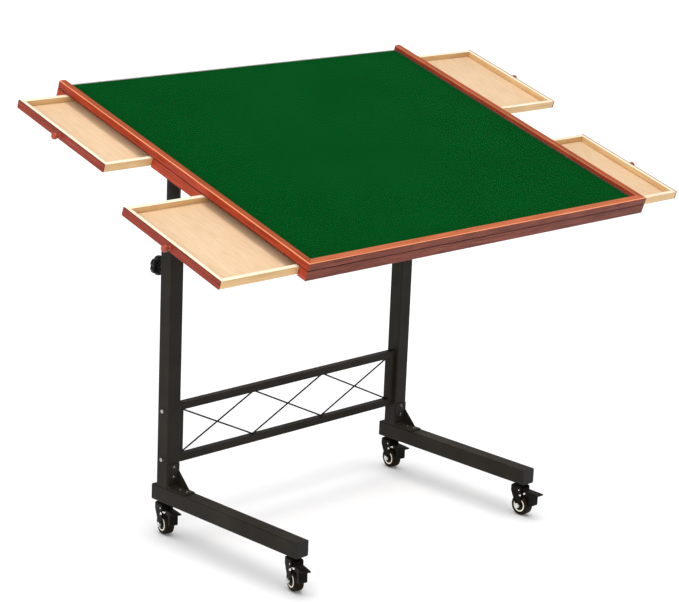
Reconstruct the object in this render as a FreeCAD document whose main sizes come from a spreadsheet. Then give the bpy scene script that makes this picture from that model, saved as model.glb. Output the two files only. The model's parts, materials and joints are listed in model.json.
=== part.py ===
import FreeCAD, Part

import os
import re

import Sketcher
from FreeCAD import Placement, Rotation, Vector

# Jigsaw puzzle table: a wooden top with four drawers, tilting on a rolling steel stand.
# Units are millimetres and degrees. X runs across the table, Y from the user to the back, Z up.
# The stand is drawn about the point on the floor midway between its legs. The top is drawn
# flat about its tilt pivot, X across, Y up the slope and Z square to the board, and is then
# turned by the tilt. Every sub-part is shifted so that the origin lies under the middle of
# the whole table.

doc = FreeCAD.newDocument("PuzzleTable")

# Driving dimensions: name, value, what it measures.
SIZES = [
    # Feet, legs and the lattice panel between them
    ("leg_spacing", 603, "distance between the centres of the two legs"),
    ("leg_size", 30, "outside of the square leg tube"),
    ("leg_length", 452, "leg tube from the foot to its open top"),
    ("tube_wall", 1.5, "wall of the leg and foot tubes"),
    ("tube_corner", 2.5, "outside corner radius of the leg and foot tubes"),
    ("foot_width", 30, "width of the foot tube"),
    ("foot_height", 30, "height of the foot tube"),
    ("foot_front_reach", 361, "foot ahead of the leg's centre, cap included"),
    ("foot_rear_reach", 28, "foot behind the leg's centre, cap included"),
    ("cap_thickness", 2.5, "flange of a foot cap"),
    ("cap_gap", 0.9, "gap between a cap's plug and the stem's socket"),
    ("plug_clearance", 0.1, "gap round a plastic plug in its tube"),
    ("panel_tube", 14, "square tube of the lattice panel"),
    ("panel_tube_wall", 1.2, "wall of the panel's tube"),
    ("panel_height", 114, "height of the lattice panel over its rails"),
    ("panel_clearance", 43.5, "height of the panel's lower rail above the feet"),
    ("lattice_wire", 2.6, "diameter of the lattice wire"),
    ("rail_bolt", 6, "diameter of the bolts that hold the panel"),
    ("rail_bolt_head", 11, "diameter of their button heads"),
    ("rail_bolt_head_height", 3, "height of their button heads"),
    ("rail_bolt_inset", 10.5, "bolts from the panel's top and bottom"),
    ("rail_bolt_gap", 3.8, "gap between a bolt's end and the far wall of the upright"),
    ("bolt_clearance", 0.25, "gap round a bolt or screw in its hole"),
    # Gussets
    ("gusset_sheet", 2, "sheet of the gussets"),
    ("gusset_width", 27, "width of the gussets"),
    ("gusset_leg", 46.5, "length of each of a gusset's two plates"),
    ("gusset_bend", 3, "inside radius of a gusset's fold"),
    ("gusset_web_reach", 31, "length of the web along each plate"),
    ("gusset_corner", 5, "rounded corners of a gusset's plates"),
    ("gusset_screw_near", 21, "inner screw, from the corner of leg and foot"),
    ("gusset_screw_far", 40, "outer screw, from the corner of leg and foot"),
    ("gusset_screw", 4, "diameter of the gusset screws"),
    ("gusset_screw_head", 8, "diameter of their pan heads"),
    ("gusset_screw_head_height", 2.4, "height of their pan heads"),
    ("gusset_screw_reach", 8, "reach of the screws past the sheet"),
    # Height clamp and inner legs
    ("collar_flange", 4, "thickness of a collar above the leg tube"),
    ("collar_depth", 28, "depth of a collar inside the leg tube"),
    ("collar_wall", 0.6, "thinnest wall of a collar round the inner leg"),
    ("inner_wall", 1.5, "wall of the inner leg"),
    ("inner_engagement", 172, "inner leg inside the leg tube, as set"),
    ("guide_clearance", 0.1, "running gap of the inner leg in its collar"),
    ("height_knob_drop", 40, "height knob below the top of the leg tube"),
    ("boss_diameter", 16, "threaded boss of the height knob on the leg"),
    ("boss_length", 5, "length of that boss"),
    ("height_stud_show", 8.5, "bare stud between the boss and the height knob"),
    ("stud_diameter", 8, "studs of the star knobs and the pivot bolts"),
    ("stud_clearance", 0.08, "running gap of a stud or bolt in its hole"),
    ("clamp_gap", 0.3, "gap between a released clamp and what it clamps"),
    ("star_diameter", 36.5, "star knobs over their lobes"),
    ("star_thickness", 14, "thickness of the star knobs"),
    ("star_lobes", 6, "lobes of a star knob"),
    ("star_scallop", 11, "diameter of the hollows between the lobes"),
    ("star_scallop_centre", 2.2, "centres of those hollows outside the rim"),
    ("star_boss", 16, "diameter of a star knob's boss"),
    ("star_boss_height", 3.5, "height of a star knob's boss"),
    ("star_edge", 3, "rounding of a star knob's rim"),
    # Casters
    ("caster_height", 64, "floor to the underside of the foot"),
    ("caster_inset", 19, "caster's stem from the end of the foot"),
    ("caster_trail", 7, "wheel's axle ahead of the stem"),
    ("swung_front_left", 19, "degrees that this caster has swung to the left"),
    ("swung_front_right", 1, "degrees that this caster has swung to the left"),
    ("swung_rear_left", 12, "degrees that this caster has swung to the left"),
    ("swung_rear_right", 7, "degrees that this caster has swung to the left"),
    ("wheel_diameter", 40, "wheel over its tread"),
    ("wheel_width", 18, "width of the tread"),
    ("wheel_shoulder", 3, "rounding of the tread's edges"),
    ("wheel_ring_outer", 26, "outside of the ring on the wheel's side"),
    ("wheel_ring_inner", 21.5, "inside of the ring on the wheel's side"),
    ("wheel_dish", 2, "depth of the wheel's side inside the ring"),
    ("wheel_hub", 11, "diameter of the wheel's hub"),
    ("fork_gap", 1.2, "gap between the wheel and a cheek of the fork"),
    ("fork_sheet", 1.8, "sheet of the fork"),
    ("fork_bend", 2.5, "inside radius of the fork's shoulders"),
    ("fork_half_length", 13, "top of the fork ahead of and behind the stem"),
    ("fork_crown", 2.4, "slope at the edges of the fork's top"),
    ("fork_boss_radius", 7, "rounded foot of a cheek about the axle"),
    ("fork_shoulder", 14, "straight upper part of a cheek"),
    ("race_diameter", 21, "swivel race on the fork"),
    ("race_height", 2.2, "height of the swivel race"),
    ("washer_diameter", 15, "bright washer under the foot"),
    ("washer_height", 1.6, "thickness of that washer"),
    ("swivel_gap", 0.3, "gap between the washer and the foot"),
    ("stem_diameter", 9, "stem of a caster"),
    ("stem_length", 22, "stem above the underside of the foot"),
    ("socket_wall", 2.5, "wall of the stem's socket in the foot"),
    ("socket_length", 16, "length of the stem's socket in the foot"),
    ("axle_diameter", 6, "axle of a wheel"),
    ("axle_nut", 11, "width of the axle's head and nut over their corners"),
    ("axle_nut_height", 4, "height of the axle's head and nut"),
    ("pedal_side_gap", 1.7, "gap between a brake pedal and a cheek of the fork"),
    ("pedal_eye", 5, "radius of a brake pedal about its pin"),
    ("pedal_reach", 52, "tip of a brake pedal ahead of the stem"),
    ("pedal_tip_drop", 12.7, "top of a brake pedal's tip below the foot"),
    ("pedal_tip_fall", 0.5, "slope of that tip ahead of the shoe"),
    ("pedal_step", 4, "slope of a pedal's top ahead of the fork"),
    ("pedal_tip", 2.6, "thickness of a brake pedal's tip"),
    ("pedal_shoe_reach", 39, "shoe of a pedal ahead of the stem"),
    ("pedal_shoe_drop", 40, "bottom of that shoe below the foot"),
    ("pedal_shoe_thickness", 9, "thickness of that shoe"),
    ("pedal_lever", 11, "depth of the lever between the shoe and the pin"),
    ("pedal_pin", 3, "pin that a brake pedal turns on"),
    ("pedal_pin_ahead", 7, "that pin ahead of the stem"),
    ("pedal_pin_drop", 13, "that pin below the foot"),
    # Tilting head
    ("pivot_height", 722.8, "tilt pivot above the floor, as set"),
    ("pivot_setback", 493.4, "tilt pivot behind the top's front edge"),
    ("pivot_drop", 30, "tilt pivot below the underside of the top"),
    ("tilt_angle", 17.18, "tilt of the top, as set"),
    ("tilt_range", 40, "steepest tilt of the top"),
    ("head_shoulder", 1.3, "head past each side of the inner leg"),
    ("head_spigot", 35, "head's round spigot inside the inner leg"),
    ("head_floor", 6, "lock stud above the end of the inner leg"),
    ("spigot_clearance", 0.05, "gap round that spigot"),
    ("lock_radius", 34, "lock stud from the tilt pivot"),
    ("slot_clearance", 0.3, "gap beside the lock stud in its slot"),
    ("lock_stud_depth", 20, "lock stud's reach into the head"),
    ("bearer_sheet", 2.5, "sheet of the bearers under the top"),
    ("bearer_gap", 0.5, "gap between a head and a bearer's flange"),
    ("bearer_front_margin", 10, "bearer ahead of its front screw"),
    ("bearer_rear_margin", 5, "bearer behind its rear screw"),
    ("bearer_flange", 18, "depth of a bearer's flanges"),
    ("bearer_end_flange", 7, "depth of the flanges at a bearer's ends"),
    ("bearer_taper", 60, "length of the taper at a bearer's ends"),
    ("lobe_front_margin", 13.8, "sheet ahead of the slot in the lobe"),
    ("lobe_rear", 17, "flange's lobe behind the pivot"),
    ("lobe_margin", 8, "sheet below the slot in the lobe"),
    ("lobe_corner", 14, "rounded corners of the lobe"),
    ("bolt_head", 15, "width of a pivot bolt's head over its corners"),
    ("bolt_head_height", 5, "height of a pivot bolt's head"),
    ("bearer_screw", 4, "diameter of the bearer screws"),
    ("bearer_screw_head", 8, "diameter of their heads"),
    ("bearer_screw_head_height", 2.4, "height of their heads"),
    ("bearer_screw_reach", 14, "reach of the screws into the wood"),
    # Top
    ("board_width", 870, "width of the top"),
    ("board_depth", 680, "depth of the top, front edge to rear edge"),
    ("lip_height", 9.5, "rails above the felt"),
    ("rail_width", 15, "width of the top's rails"),
    ("panel_thickness", 2, "panel under the drawers"),
    ("panel_inset", 4, "edge of that panel inside the outer faces"),
    ("board_clearance", 1.8, "base board above the walls of a drawer"),
    ("board_thickness", 3, "thickness of the base board"),
    ("board_tongue", 4, "base board's depth in the rails"),
    ("board_rear_gap", 2, "base board short of the rear edge"),
    ("felt_thickness", 1, "thickness of the felt"),
    ("felt_rear_gap", 2, "felt short of the base board's rear edge"),
    ("moulding_rise", 0.8, "moulded line above the drawer openings"),
    ("moulding_width", 1.8, "width of the moulded line"),
    ("moulding_depth", 1.2, "depth of the moulded line"),
    ("arris_radius", 2.5, "rounded outer edge of the rails"),
    ("rim_chamfer", 1.5, "eased inner edge of the rails"),
    ("cover_thickness", 3, "thickness of the clear cover"),
    ("cover_gap", 2, "gap between the cover and the rails"),
    ("cover_corner", 6, "rounded corners of the cover"),
    ("cover_seat", 0.1, "gap between the cover and the felt"),
    # Drawers
    ("front_batten", 4.5, "batten between the front rail and the front bays"),
    ("rear_batten", 10, "batten between the rear bays and the rear rail"),
    ("drawer_length", 249, "drawer along the side of the top"),
    ("drawer_side_gap", 1, "gap beside a drawer in its bay"),
    ("drawer_depth", 270, "drawer from its face to its back"),
    ("drawer_wall", 8, "walls of a drawer"),
    ("drawer_wall_height", 14.5, "height of a drawer's walls"),
    ("drawer_glide", 0.2, "gap under and over a drawer"),
    ("drawer_floor", 3, "floor of a drawer"),
    ("drawer_floor_rise", 1.3, "floor above the underside of the walls"),
    ("drawer_face", 2.5, "thickness of a drawer's face"),
    ("opening_gap", 0.5, "gap over a drawer's walls in the side rail"),
    ("divider_width", 11.5, "battens beside the bays"),
    ("stop_batten", 12, "battens behind the drawers"),
    ("stop_gap", 2, "gap between a shut drawer and its batten"),
    ("pull_length", 17, "drawer pull out of the face"),
    ("pull_head", 12, "diameter of a drawer pull's ball"),
    ("pull_neck", 6, "neck of a drawer pull"),
    ("pull_neck_start", 4, "neck of a drawer pull from the face"),
    ("pull_foot", 9.5, "foot of a drawer pull"),
    ("pull_foot_edge", 1.6, "thickness of a drawer pull's foot at its edge"),
    ("pull_screw", 3.5, "screw of a drawer pull"),
    ("open_front_left", 168, "front left drawer, out"),
    ("open_rear_left", 104, "rear left drawer, out"),
    ("open_front_right", 127, "front right drawer, out"),
    ("open_rear_right", 191, "rear right drawer, out"),
]

# Crosses of wire in the lattice.
CROSSES = 3

# Places and sizes that follow from the driving dimensions.
PLACES = {
    "foot_top": "caster_height + foot_height",
    "leg_top": "foot_top + leg_length",
    "leg_inside": "leg_size - 2 * tube_wall",
    "socket_radius": "stem_diameter / 2 + stud_clearance + socket_wall",
    "cap_depth": "caster_inset - socket_radius - cap_gap",
    "stem_front": "-foot_front_reach + caster_inset",
    "stem_rear": "foot_rear_reach - caster_inset",
    "panel_bottom": "foot_top + panel_clearance",
    "panel_top": "panel_bottom + panel_height",
    "panel_length": "leg_spacing - leg_size",
    "window_length": "panel_length - 2 * panel_tube",
    "window_height": "panel_height - 2 * panel_tube",
    "lattice_bay": f"window_length / {CROSSES}",
    "lower_bolt": "panel_bottom + rail_bolt_inset",
    "upper_bolt": "panel_top - rail_bolt_inset",
    "rail_bolt_grip": "panel_tube - panel_tube_wall - rail_bolt_gap",
    "height_knob_z": "leg_top - height_knob_drop",
    "height_knob_y": "leg_size / 2 + boss_length + height_stud_show",
    "inner_diameter": "leg_inside - 2 * (plug_clearance + collar_wall + guide_clearance)",
    "head_size": "inner_diameter + 2 * head_shoulder",
    "lock_z": "pivot_height - lock_radius",
    "inner_bottom": "leg_top - inner_engagement",
    "inner_top": "lock_z - head_floor",
    "bearer_inside": "head_size + 2 * bearer_gap",
    "bearer_width": "bearer_inside + 2 * bearer_sheet",
    "axle_y": "-caster_trail",
    "axle_z": "wheel_diameter / 2",
    "washer_top": "caster_height - swivel_gap",
    "fork_top": "washer_top - washer_height - race_height",
    "fork_inside": "wheel_width + 2 * fork_gap",
    "fork_width": "fork_inside + 2 * fork_sheet",
    "pedal_width": "fork_inside - 2 * pedal_side_gap",
    "pin_y": "-pedal_pin_ahead",
    "pin_z": "caster_height - pedal_pin_drop",
    "front_edge": "-pivot_setback",
    "rear_edge": "front_edge + board_depth",
    "underside": "pivot_drop",
    "half_width": "board_width / 2",
    "inner_half_width": "half_width - rail_width",
    "bay_length": "drawer_length + 2 * drawer_side_gap",
    "front_bay": "front_edge + rail_width + front_batten",
    "rear_bay": "rear_edge - rail_width - rear_batten - bay_length",
    "bay_floor": "underside + panel_thickness",
    "wall_bottom": "bay_floor + drawer_glide",
    "wall_top": "wall_bottom + drawer_wall_height",
    "opening_top": "wall_top + opening_gap",
    "moulding_line": "opening_top + moulding_rise",
    "board_bottom": "wall_top + board_clearance",
    "board_top": "board_bottom + board_thickness",
    "felt_top": "board_top + felt_thickness",
    "rail_top": "felt_top + lip_height",
    "front_screw": "front_bay + bay_length + divider_width / 2",
    "middle_screw": "rear_bay - divider_width / 2",
    "rear_screw": "rear_edge - rail_width / 2",
    "bearer_front": "front_screw - bearer_front_margin",
    "bearer_rear": "rear_screw + bearer_rear_margin",
    "slot_radius": "stud_diameter / 2 + slot_clearance",
    "lobe_front": "-(lock_radius * sin(tilt_range) + slot_radius + lobe_front_margin)",
    "lobe_bottom": "-(lock_radius + slot_radius + lobe_margin)",
    "tray_depth": "drawer_depth - drawer_face",
    "slope_run": "cos(tilt_angle)",
    "slope_rise": "sin(tilt_angle)",
    "whole_left": "half_width + max(open_front_left; open_rear_left) + pull_length",
    "whole_right": "half_width + max(open_front_right; open_rear_right) + pull_length",
    "whole_front": "pivot_setback * slope_run + rail_top * slope_rise",
    "whole_rear": "rear_edge * slope_run - underside * slope_rise",
    "middle_x": "(whole_right - whole_left) / 2",
    "middle_y": "(whole_rear - whole_front) / 2",
}

sheet = doc.addObject("Spreadsheet::Sheet", "Sizes")
for row, (alias, value, meaning) in enumerate(SIZES, start=1):
    sheet.set(f"A{row}", meaning)
    sheet.set(f"B{row}", str(value))
    sheet.setAlias(f"B{row}", alias)
doc.recompute()

ALIASES = {alias for alias, value, meaning in SIZES}
TURN_TO = {
    "x": Rotation(Vector(0, 1, 0), 90),
    "-x": Rotation(Vector(0, 1, 0), -90),
    "y": Rotation(Vector(1, 0, 0), -90),
    "-y": Rotation(Vector(1, 0, 0), 90),
    "z": Rotation(),
    "-z": Rotation(Vector(1, 0, 0), 180),
}
sub_parts = []


def formula(text):
    """Write out the named places in text, down to cells of the sheet."""

    def write_out(match):
        word = match[0]
        if word in PLACES:
            return f"({formula(PLACES[word])})"
        return f"Sizes.{word}" if word in ALIASES else word

    return re.sub(r"[a-z_]+", write_out, str(text))


def number(text):
    return float(sheet.evalExpression(formula(text)))


def bind(thing, **sizes):
    for name, text in sizes.items():
        thing.setExpression(name, formula(text))
    return thing


def move(thing, x, y, z):
    for axis, text in zip("xyz", (x, y, z)):
        thing.setExpression(f"Placement.Base.{axis}", formula(text))
    return thing


# Part primitives and booleans


def box(name, across, along, up):
    """A block given by its low and high limit on each axis."""
    (left, right), (front, back), (low, high) = across, along, up
    block = doc.addObject("Part::Box", name)
    bind(block, Length=f"{right} - ({left})", Width=f"{back} - ({front})", Height=f"{high} - ({low})")
    return move(block, left, front, low)


def cylinder(name, at, radius, length, towards="z"):
    rod = doc.addObject("Part::Cylinder", name)
    rod.Placement = Placement(Vector(), TURN_TO[towards])
    bind(rod, Radius=radius, Height=length)
    return move(rod, *at)


def cone(name, at, radius, end_radius, length, towards="z"):
    taper = doc.addObject("Part::Cone", name)
    taper.Placement = Placement(Vector(), TURN_TO[towards])
    bind(taper, Radius1=radius, Radius2=end_radius, Height=length)
    return move(taper, *at)


def hexagon(name, at, corners, length, towards="z"):
    prism = doc.addObject("Part::Prism", name)
    prism.Polygon = 6
    prism.Placement = Placement(Vector(), TURN_TO[towards])
    bind(prism, Circumradius=f"({corners}) / 2", Height=length)
    return move(prism, *at)


def fuse(name, *pieces):
    union = doc.addObject("Part::MultiFuse", name)
    union.Shapes = list(pieces)
    return union


def cut(name, blank, *tools):
    result = doc.addObject("Part::Cut", name)
    result.Base = blank
    result.Tool = tools[0] if len(tools) == 1 else fuse(f"{name}Tools", *tools)
    return result


def common(name, one, other):
    result = doc.addObject("Part::Common", name)
    result.Base = one
    result.Tool = other
    return result


def group(name, *pieces):
    """Separate solids that share one node."""
    together = doc.addObject("Part::Compound", name)
    together.Links = list(pieces)
    return together


# PartDesign bodies


def new_body(name):
    return doc.addObject("PartDesign::Body", name)


def plane_of(body, role):
    return next(feature for feature in body.Origin.OriginFeatures if feature.Role == role)


def new_sketch(body, name, role, offset="0"):
    sketch = body.newObject("Sketcher::SketchObject", name)
    sketch.AttachmentSupport = (plane_of(body, role), [""])
    sketch.MapMode = "FlatFace"
    sketch.setExpression("AttachmentOffset.Base.z", formula(offset))
    return sketch


def outline(sketch, corners):
    """Close an outline through corners (x, y) or (x, y, radius, turn). A corner with a radius
    starts an arc to the next corner, turning left (1) or right (-1)."""
    first = sketch.GeometryCount
    places = [Vector(number(corner[0]), number(corner[1]), 0) for corner in corners]
    ends = []
    for index, corner in enumerate(corners):
        here, there = places[index], places[(index + 1) % len(corners)]
        if len(corner) == 2:
            ends.append((sketch.addGeometry(Part.LineSegment(here, there), False), 1, 2))
            continue
        radius, turn = number(corner[2]), corner[3]
        half_chord = (there - here) / 2
        rise = max(radius**2 - half_chord.Length**2, 0) ** 0.5
        sideways = Vector(-half_chord.y, half_chord.x, 0).normalize() * rise * turn
        centre = here + half_chord + sideways
        start, stop = (here, there) if turn > 0 else (there, here)
        angles = []
        for end in (start, stop):
            above = 1 if end.y >= centre.y else -1
            angles.append(Vector(1, 0, 0).getAngle(end - centre) * above)
        arc = Part.ArcOfCircle(Part.Circle(centre, Vector(0, 0, 1), radius), *angles)
        arc = sketch.addGeometry(arc, False)
        ends.append((arc, 1, 2) if turn > 0 else (arc, 2, 1))
    for index, corner in enumerate(corners):
        item, start, stop = ends[index]
        following, next_start, _ = ends[(index + 1) % len(corners)]
        sketch.addConstraint(Sketcher.Constraint("Coincident", item, stop, following, next_start))
        for kind, text, value in (("X", corner[0], places[index].x), ("Y", corner[1], places[index].y)):
            held = sketch.addConstraint(Sketcher.Constraint(f"Distance{kind}", -1, 1, item, start, value))
            sketch.renameConstraint(held, f"corner_{first + index}_{kind}")
            sketch.setExpression(f"Constraints.corner_{first + index}_{kind}", formula(text))
        if len(corner) == 4:
            held = sketch.addConstraint(Sketcher.Constraint("Radius", item, number(corner[2])))
            sketch.renameConstraint(held, f"arc_{first + index}")
            sketch.setExpression(f"Constraints.arc_{first + index}", formula(corner[2]))
    return sketch


def circle(sketch, x, y, radius):
    place = Vector(number(x), number(y), 0)
    item = sketch.addGeometry(Part.Circle(place, Vector(0, 0, 1), number(radius)), False)
    held = (
        ("DistanceX", (-1, 1, item, 3), place.x, x),
        ("DistanceY", (-1, 1, item, 3), place.y, y),
        ("Radius", (item,), number(radius), radius),
    )
    for kind, what, value, text in held:
        index = sketch.addConstraint(Sketcher.Constraint(kind, *what, value))
        sketch.renameConstraint(index, f"circle_{item}_{kind}")
        sketch.setExpression(f"Constraints.circle_{item}_{kind}", formula(text))
    return sketch


def rounded(left, right, front, back, radius):
    """Corners of a rectangle with round corners, for outline()."""
    return [
        (f"({left}) + {radius}", front),
        (f"({right}) - ({radius})", front, radius, 1),
        (right, f"({front}) + {radius}"),
        (right, f"({back}) - ({radius})", radius, 1),
        (f"({right}) - ({radius})", back),
        (f"({left}) + {radius}", back, radius, 1),
        (left, f"({back}) - ({radius})"),
        (left, f"({front}) + {radius}", radius, 1),
    ]


def pad(body, name, sketch, length, both_ways=False, reverse=False):
    feature = body.newObject("PartDesign::Pad", name)
    feature.Profile = sketch
    feature.Midplane = both_ways
    feature.Reversed = reverse
    return bind(feature, Length=length)


def pocket(body, name, sketch, both_ways=True, reverse=False):
    """Cut the sketch right through the body."""
    feature = body.newObject("PartDesign::Pocket", name)
    feature.Profile = sketch
    feature.Type = "ThroughAll"
    feature.Midplane = both_ways
    feature.Reversed = reverse
    return feature


def revolve(body, name, sketch, axis="V_Axis"):
    feature = body.newObject("PartDesign::Revolution", name)
    feature.Profile = sketch
    feature.ReferenceAxis = (sketch, [axis])
    feature.Angle = 360
    return feature


# Nodes


def stand_part(node, thing, x="0", y="0", z="0"):
    """Name a finished sub-part of the upright stand and put it in the table's frame."""
    thing.Label = node
    move(thing, f"{x} - middle_x", f"{y} - middle_y", z)
    sub_parts.append(thing)


def top_part(node, thing):
    """Name a finished sub-part of the top and tilt it about the pivot."""
    thing.Label = node
    thing.Placement = Placement(Vector(), Rotation(Vector(1, 0, 0), number("tilt_angle")))
    thing.setExpression("Placement.Rotation.Angle", formula("tilt_angle"))
    move(thing, "-middle_x", "-middle_y", "pivot_height")
    sub_parts.append(thing)


def either_side(side, near, far):
    """Limits of something between near and far from the middle, on the left (-1) or right (1)."""
    return (near, far) if side > 0 else (f"-({far})", f"-({near})")


SIDES = (("left", -1), ("right", 1))


# The stand


def square_tube(name, outline_limits, wall, corner, length, role, offset, reverse=False):
    left, right, front, back = outline_limits
    body = new_body(name)
    section = new_sketch(body, f"{name}Section", role, offset)
    outline(section, rounded(left, right, front, back, corner))
    inside = (f"({left}) + {wall}", f"({right}) - ({wall})", f"({front}) + {wall}", f"({back}) - ({wall})")
    outline(section, rounded(*inside, f"{corner} - {wall}"))
    pad(body, f"{name}Length", section, length, reverse=reverse)
    return body


def foot(side_name, side):
    """Foot tube with its two caster sockets and the holes of the gusset's screws."""
    name = f"Foot{side_name.title()}"
    tube = square_tube(
        f"{name}Tube",
        ("-foot_width / 2", "foot_width / 2", "caster_height", "foot_top"),
        "tube_wall",
        "tube_corner",
        "foot_front_reach + foot_rear_reach - 2 * cap_thickness",
        "XZ_Plane",
        "-(foot_rear_reach - cap_thickness)",
    )
    sockets, bores = [], []
    stem_hole, screw_hole = "stem_diameter / 2 + stud_clearance", "gusset_screw / 2 + bolt_clearance"
    for end in ("front", "rear"):
        at = ("0", f"stem_{end}", "caster_height")
        sockets.append(cylinder(f"{name}Socket{end.title()}", at, "socket_radius", "socket_length"))
        bores.append(cylinder(f"{name}Bore{end.title()}", at, stem_hole, "socket_length"))
    for index, reach in enumerate(("gusset_screw_near", "gusset_screw_far")):
        at = ("0", f"-leg_size / 2 - {reach}", "foot_top - 2 * tube_wall")
        bores.append(cylinder(f"{name}Screw{index}", at, screw_hole, "3 * tube_wall"))
    whole = cut(name, fuse(f"{name}Welded", tube, *sockets), *bores)
    stand_part(f"foot_{side_name}", whole, f"{side} * leg_spacing / 2")


def foot_caps():
    """Plastic caps that close the four ends of the feet."""
    caps = []
    for side_name, side in SIDES:
        for end, reach, way in (("Front", "-foot_front_reach", 1), ("Rear", "foot_rear_reach", -1)):
            name = f"Cap{side_name.title()}{end}"
            middle = f"{side} * leg_spacing / 2"
            body = new_body(name)
            role, inwards = "XZ_Plane", way > 0
            flange = new_sketch(body, f"{name}Flange", role, f"-({reach})")
            limits = ("-foot_width / 2", "foot_width / 2", "caster_height", "foot_top")
            outline(flange, rounded(*limits, "tube_corner"))
            pad(body, f"{name}FlangePad", flange, "cap_thickness", reverse=inwards)
            plug = new_sketch(body, f"{name}Plug", role, f"-({reach})")
            inset = "tube_wall + plug_clearance"
            plug_limits = (
                f"-foot_width / 2 + {inset}",
                f"foot_width / 2 - ({inset})",
                f"caster_height + {inset}",
                f"foot_top - ({inset})",
            )
            outline(plug, rounded(*plug_limits, "tube_corner - tube_wall"))
            pad(body, f"{name}PlugPad", plug, "cap_depth", reverse=inwards)
            caps.append(move(body, middle, "0", "0"))
    stand_part("foot_caps", group("FootCaps", *caps))


def leg(side_name, side):
    """Square leg tube with the threaded boss of the height knob."""
    name = f"Leg{side_name.title()}"
    half = "leg_size / 2"
    tube = square_tube(
        f"{name}Tube",
        (f"-{half}", half, f"-{half}", half),
        "tube_wall",
        "tube_corner",
        "leg_length",
        "XY_Plane",
        "foot_top",
    )
    boss_at = ("0", f"{half} - tube_wall", "height_knob_z")
    boss = cylinder(f"{name}Boss", boss_at, "boss_diameter / 2", "boss_length + tube_wall", "y")
    stud_hole, bolt_hole = "stud_diameter / 2 + stud_clearance", "rail_bolt / 2 + bolt_clearance"
    screw_hole = "gusset_screw / 2 + bolt_clearance"
    bores = [cylinder(f"{name}Stud", boss_at, stud_hole, "2 * boss_length + tube_wall", "y")]
    for index, height in enumerate(("lower_bolt", "upper_bolt")):
        at = ("-leg_size", "0", height)
        bores.append(cylinder(f"{name}Rail{index}", at, bolt_hole, "2 * leg_size", "x"))
    for index, reach in enumerate(("gusset_screw_near", "gusset_screw_far")):
        at = ("0", f"-{half} - tube_wall", f"foot_top + {reach}")
        bores.append(cylinder(f"{name}Screw{index}", at, screw_hole, "3 * tube_wall", "y"))
    whole = cut(name, fuse(f"{name}Welded", tube, boss), *bores)
    stand_part(f"leg_{side_name}", whole, f"{side} * leg_spacing / 2")


def leg_collars():
    """Plastic collars that guide the round inner legs in the square tubes."""
    collars = []
    for side_name, side in SIDES:
        name = f"Collar{side_name.title()}"
        body = new_body(name)
        flange = new_sketch(body, f"{name}Flange", "XY_Plane", "leg_top")
        half = "leg_size / 2"
        outline(flange, rounded(f"-{half}", half, f"-{half}", half, "tube_corner"))
        pad(body, f"{name}FlangePad", flange, "collar_flange")
        skirt = new_sketch(body, f"{name}Skirt", "XY_Plane", "leg_top")
        inside = "leg_inside / 2 - plug_clearance"
        outline(skirt, rounded(f"-({inside})", inside, f"-({inside})", inside, "tube_corner - tube_wall"))
        pad(body, f"{name}SkirtPad", skirt, "collar_depth", reverse=True)
        bore = new_sketch(body, f"{name}Bore", "XY_Plane", "leg_top")
        circle(bore, "0", "0", "inner_diameter / 2 + guide_clearance")
        pocket(body, f"{name}BorePocket", bore)
        collars.append(move(body, f"{side} * leg_spacing / 2", "0", "0"))
    stand_part("leg_collars", group("LegCollars", *collars))


def panel_frame():
    """Welded frame of square tube that carries the lattice between the legs."""
    half, tube, wall = "panel_length / 2", "panel_tube", "panel_tube_wall"
    thick = (f"-{tube} / 2", f"{tube} / 2")
    hollow = (f"-{tube} / 2 + {wall}", f"{tube} / 2 - {wall}")
    heights = ("panel_bottom", "panel_top")
    pieces, hollows = [], []
    for side_name, side in SIDES:
        upright = either_side(side, f"{half} - {tube}", half)
        pieces.append(box(f"Upright{side_name}", upright, thick, heights))
        inside = either_side(side, f"{half} - {tube} + {wall}", f"{half} - {wall}")
        hollows.append(box(f"UprightHollow{side_name}", inside, hollow, heights))
        for height in ("lower_bolt", "upper_bolt"):
            at = (f"{side} * {half}", "0", height)
            inwards = "-x" if side > 0 else "x"
            bore = "rail_bolt / 2 + bolt_clearance"
            hollows.append(cylinder(f"UprightBore{side_name}{height}", at, bore, "rail_bolt_grip", inwards))
    rail = (f"-({half} - {tube})", f"{half} - {tube}")
    for name, low in (("Lower", "panel_bottom"), ("Upper", f"panel_top - {tube}")):
        pieces.append(box(f"Rail{name}", rail, thick, (low, f"{low} + {tube}")))
        inside = (f"{low} + {wall}", f"{low} + {tube} - {wall}")
        hollows.append(box(f"RailHollow{name}", rail, hollow, inside))
    stand_part("panel_frame", cut("PanelFrame", fuse("PanelWelded", *pieces), *hollows))


def lattice_wires():
    """Crosses of round wire side by side, one wire of each cross ahead of the other."""
    wires = []
    for bay in range(CROSSES):
        left = f"-window_length / 2 + {bay} * lattice_bay"
        window = (left, f"{left} + lattice_bay")
        heights = ("panel_bottom + panel_tube", "panel_top - panel_tube")
        for lean in (-1, 1):
            name = f"Wire{bay}{'Back' if lean > 0 else 'Front'}"
            rod = doc.addObject("Part::Cylinder", f"{name}Rod")
            rod.Placement = Placement(Vector(), Rotation(Vector(0, lean, 0), 60))
            bind(rod, Radius="lattice_wire / 2", Height="2 * sqrt(lattice_bay ^ 2 + window_height ^ 2)")
            rod.setExpression("Placement.Rotation.Angle", formula("atan(lattice_bay / window_height)"))
            middle = f"{left} + lattice_bay / 2 - ({lean} * lattice_bay)"
            move(rod, middle, f"{lean} * lattice_wire / 2", "panel_bottom + panel_height / 2 - window_height")
            room = box(f"{name}Room", window, ("-lattice_wire", "lattice_wire"), heights)
            wires.append(common(name, rod, room))
    stand_part("lattice_wires", group("LatticeWires", *wires))


# Flat crown of a pan head, as a share of the head's width.
PAN_CROWN = 0.65


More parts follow.
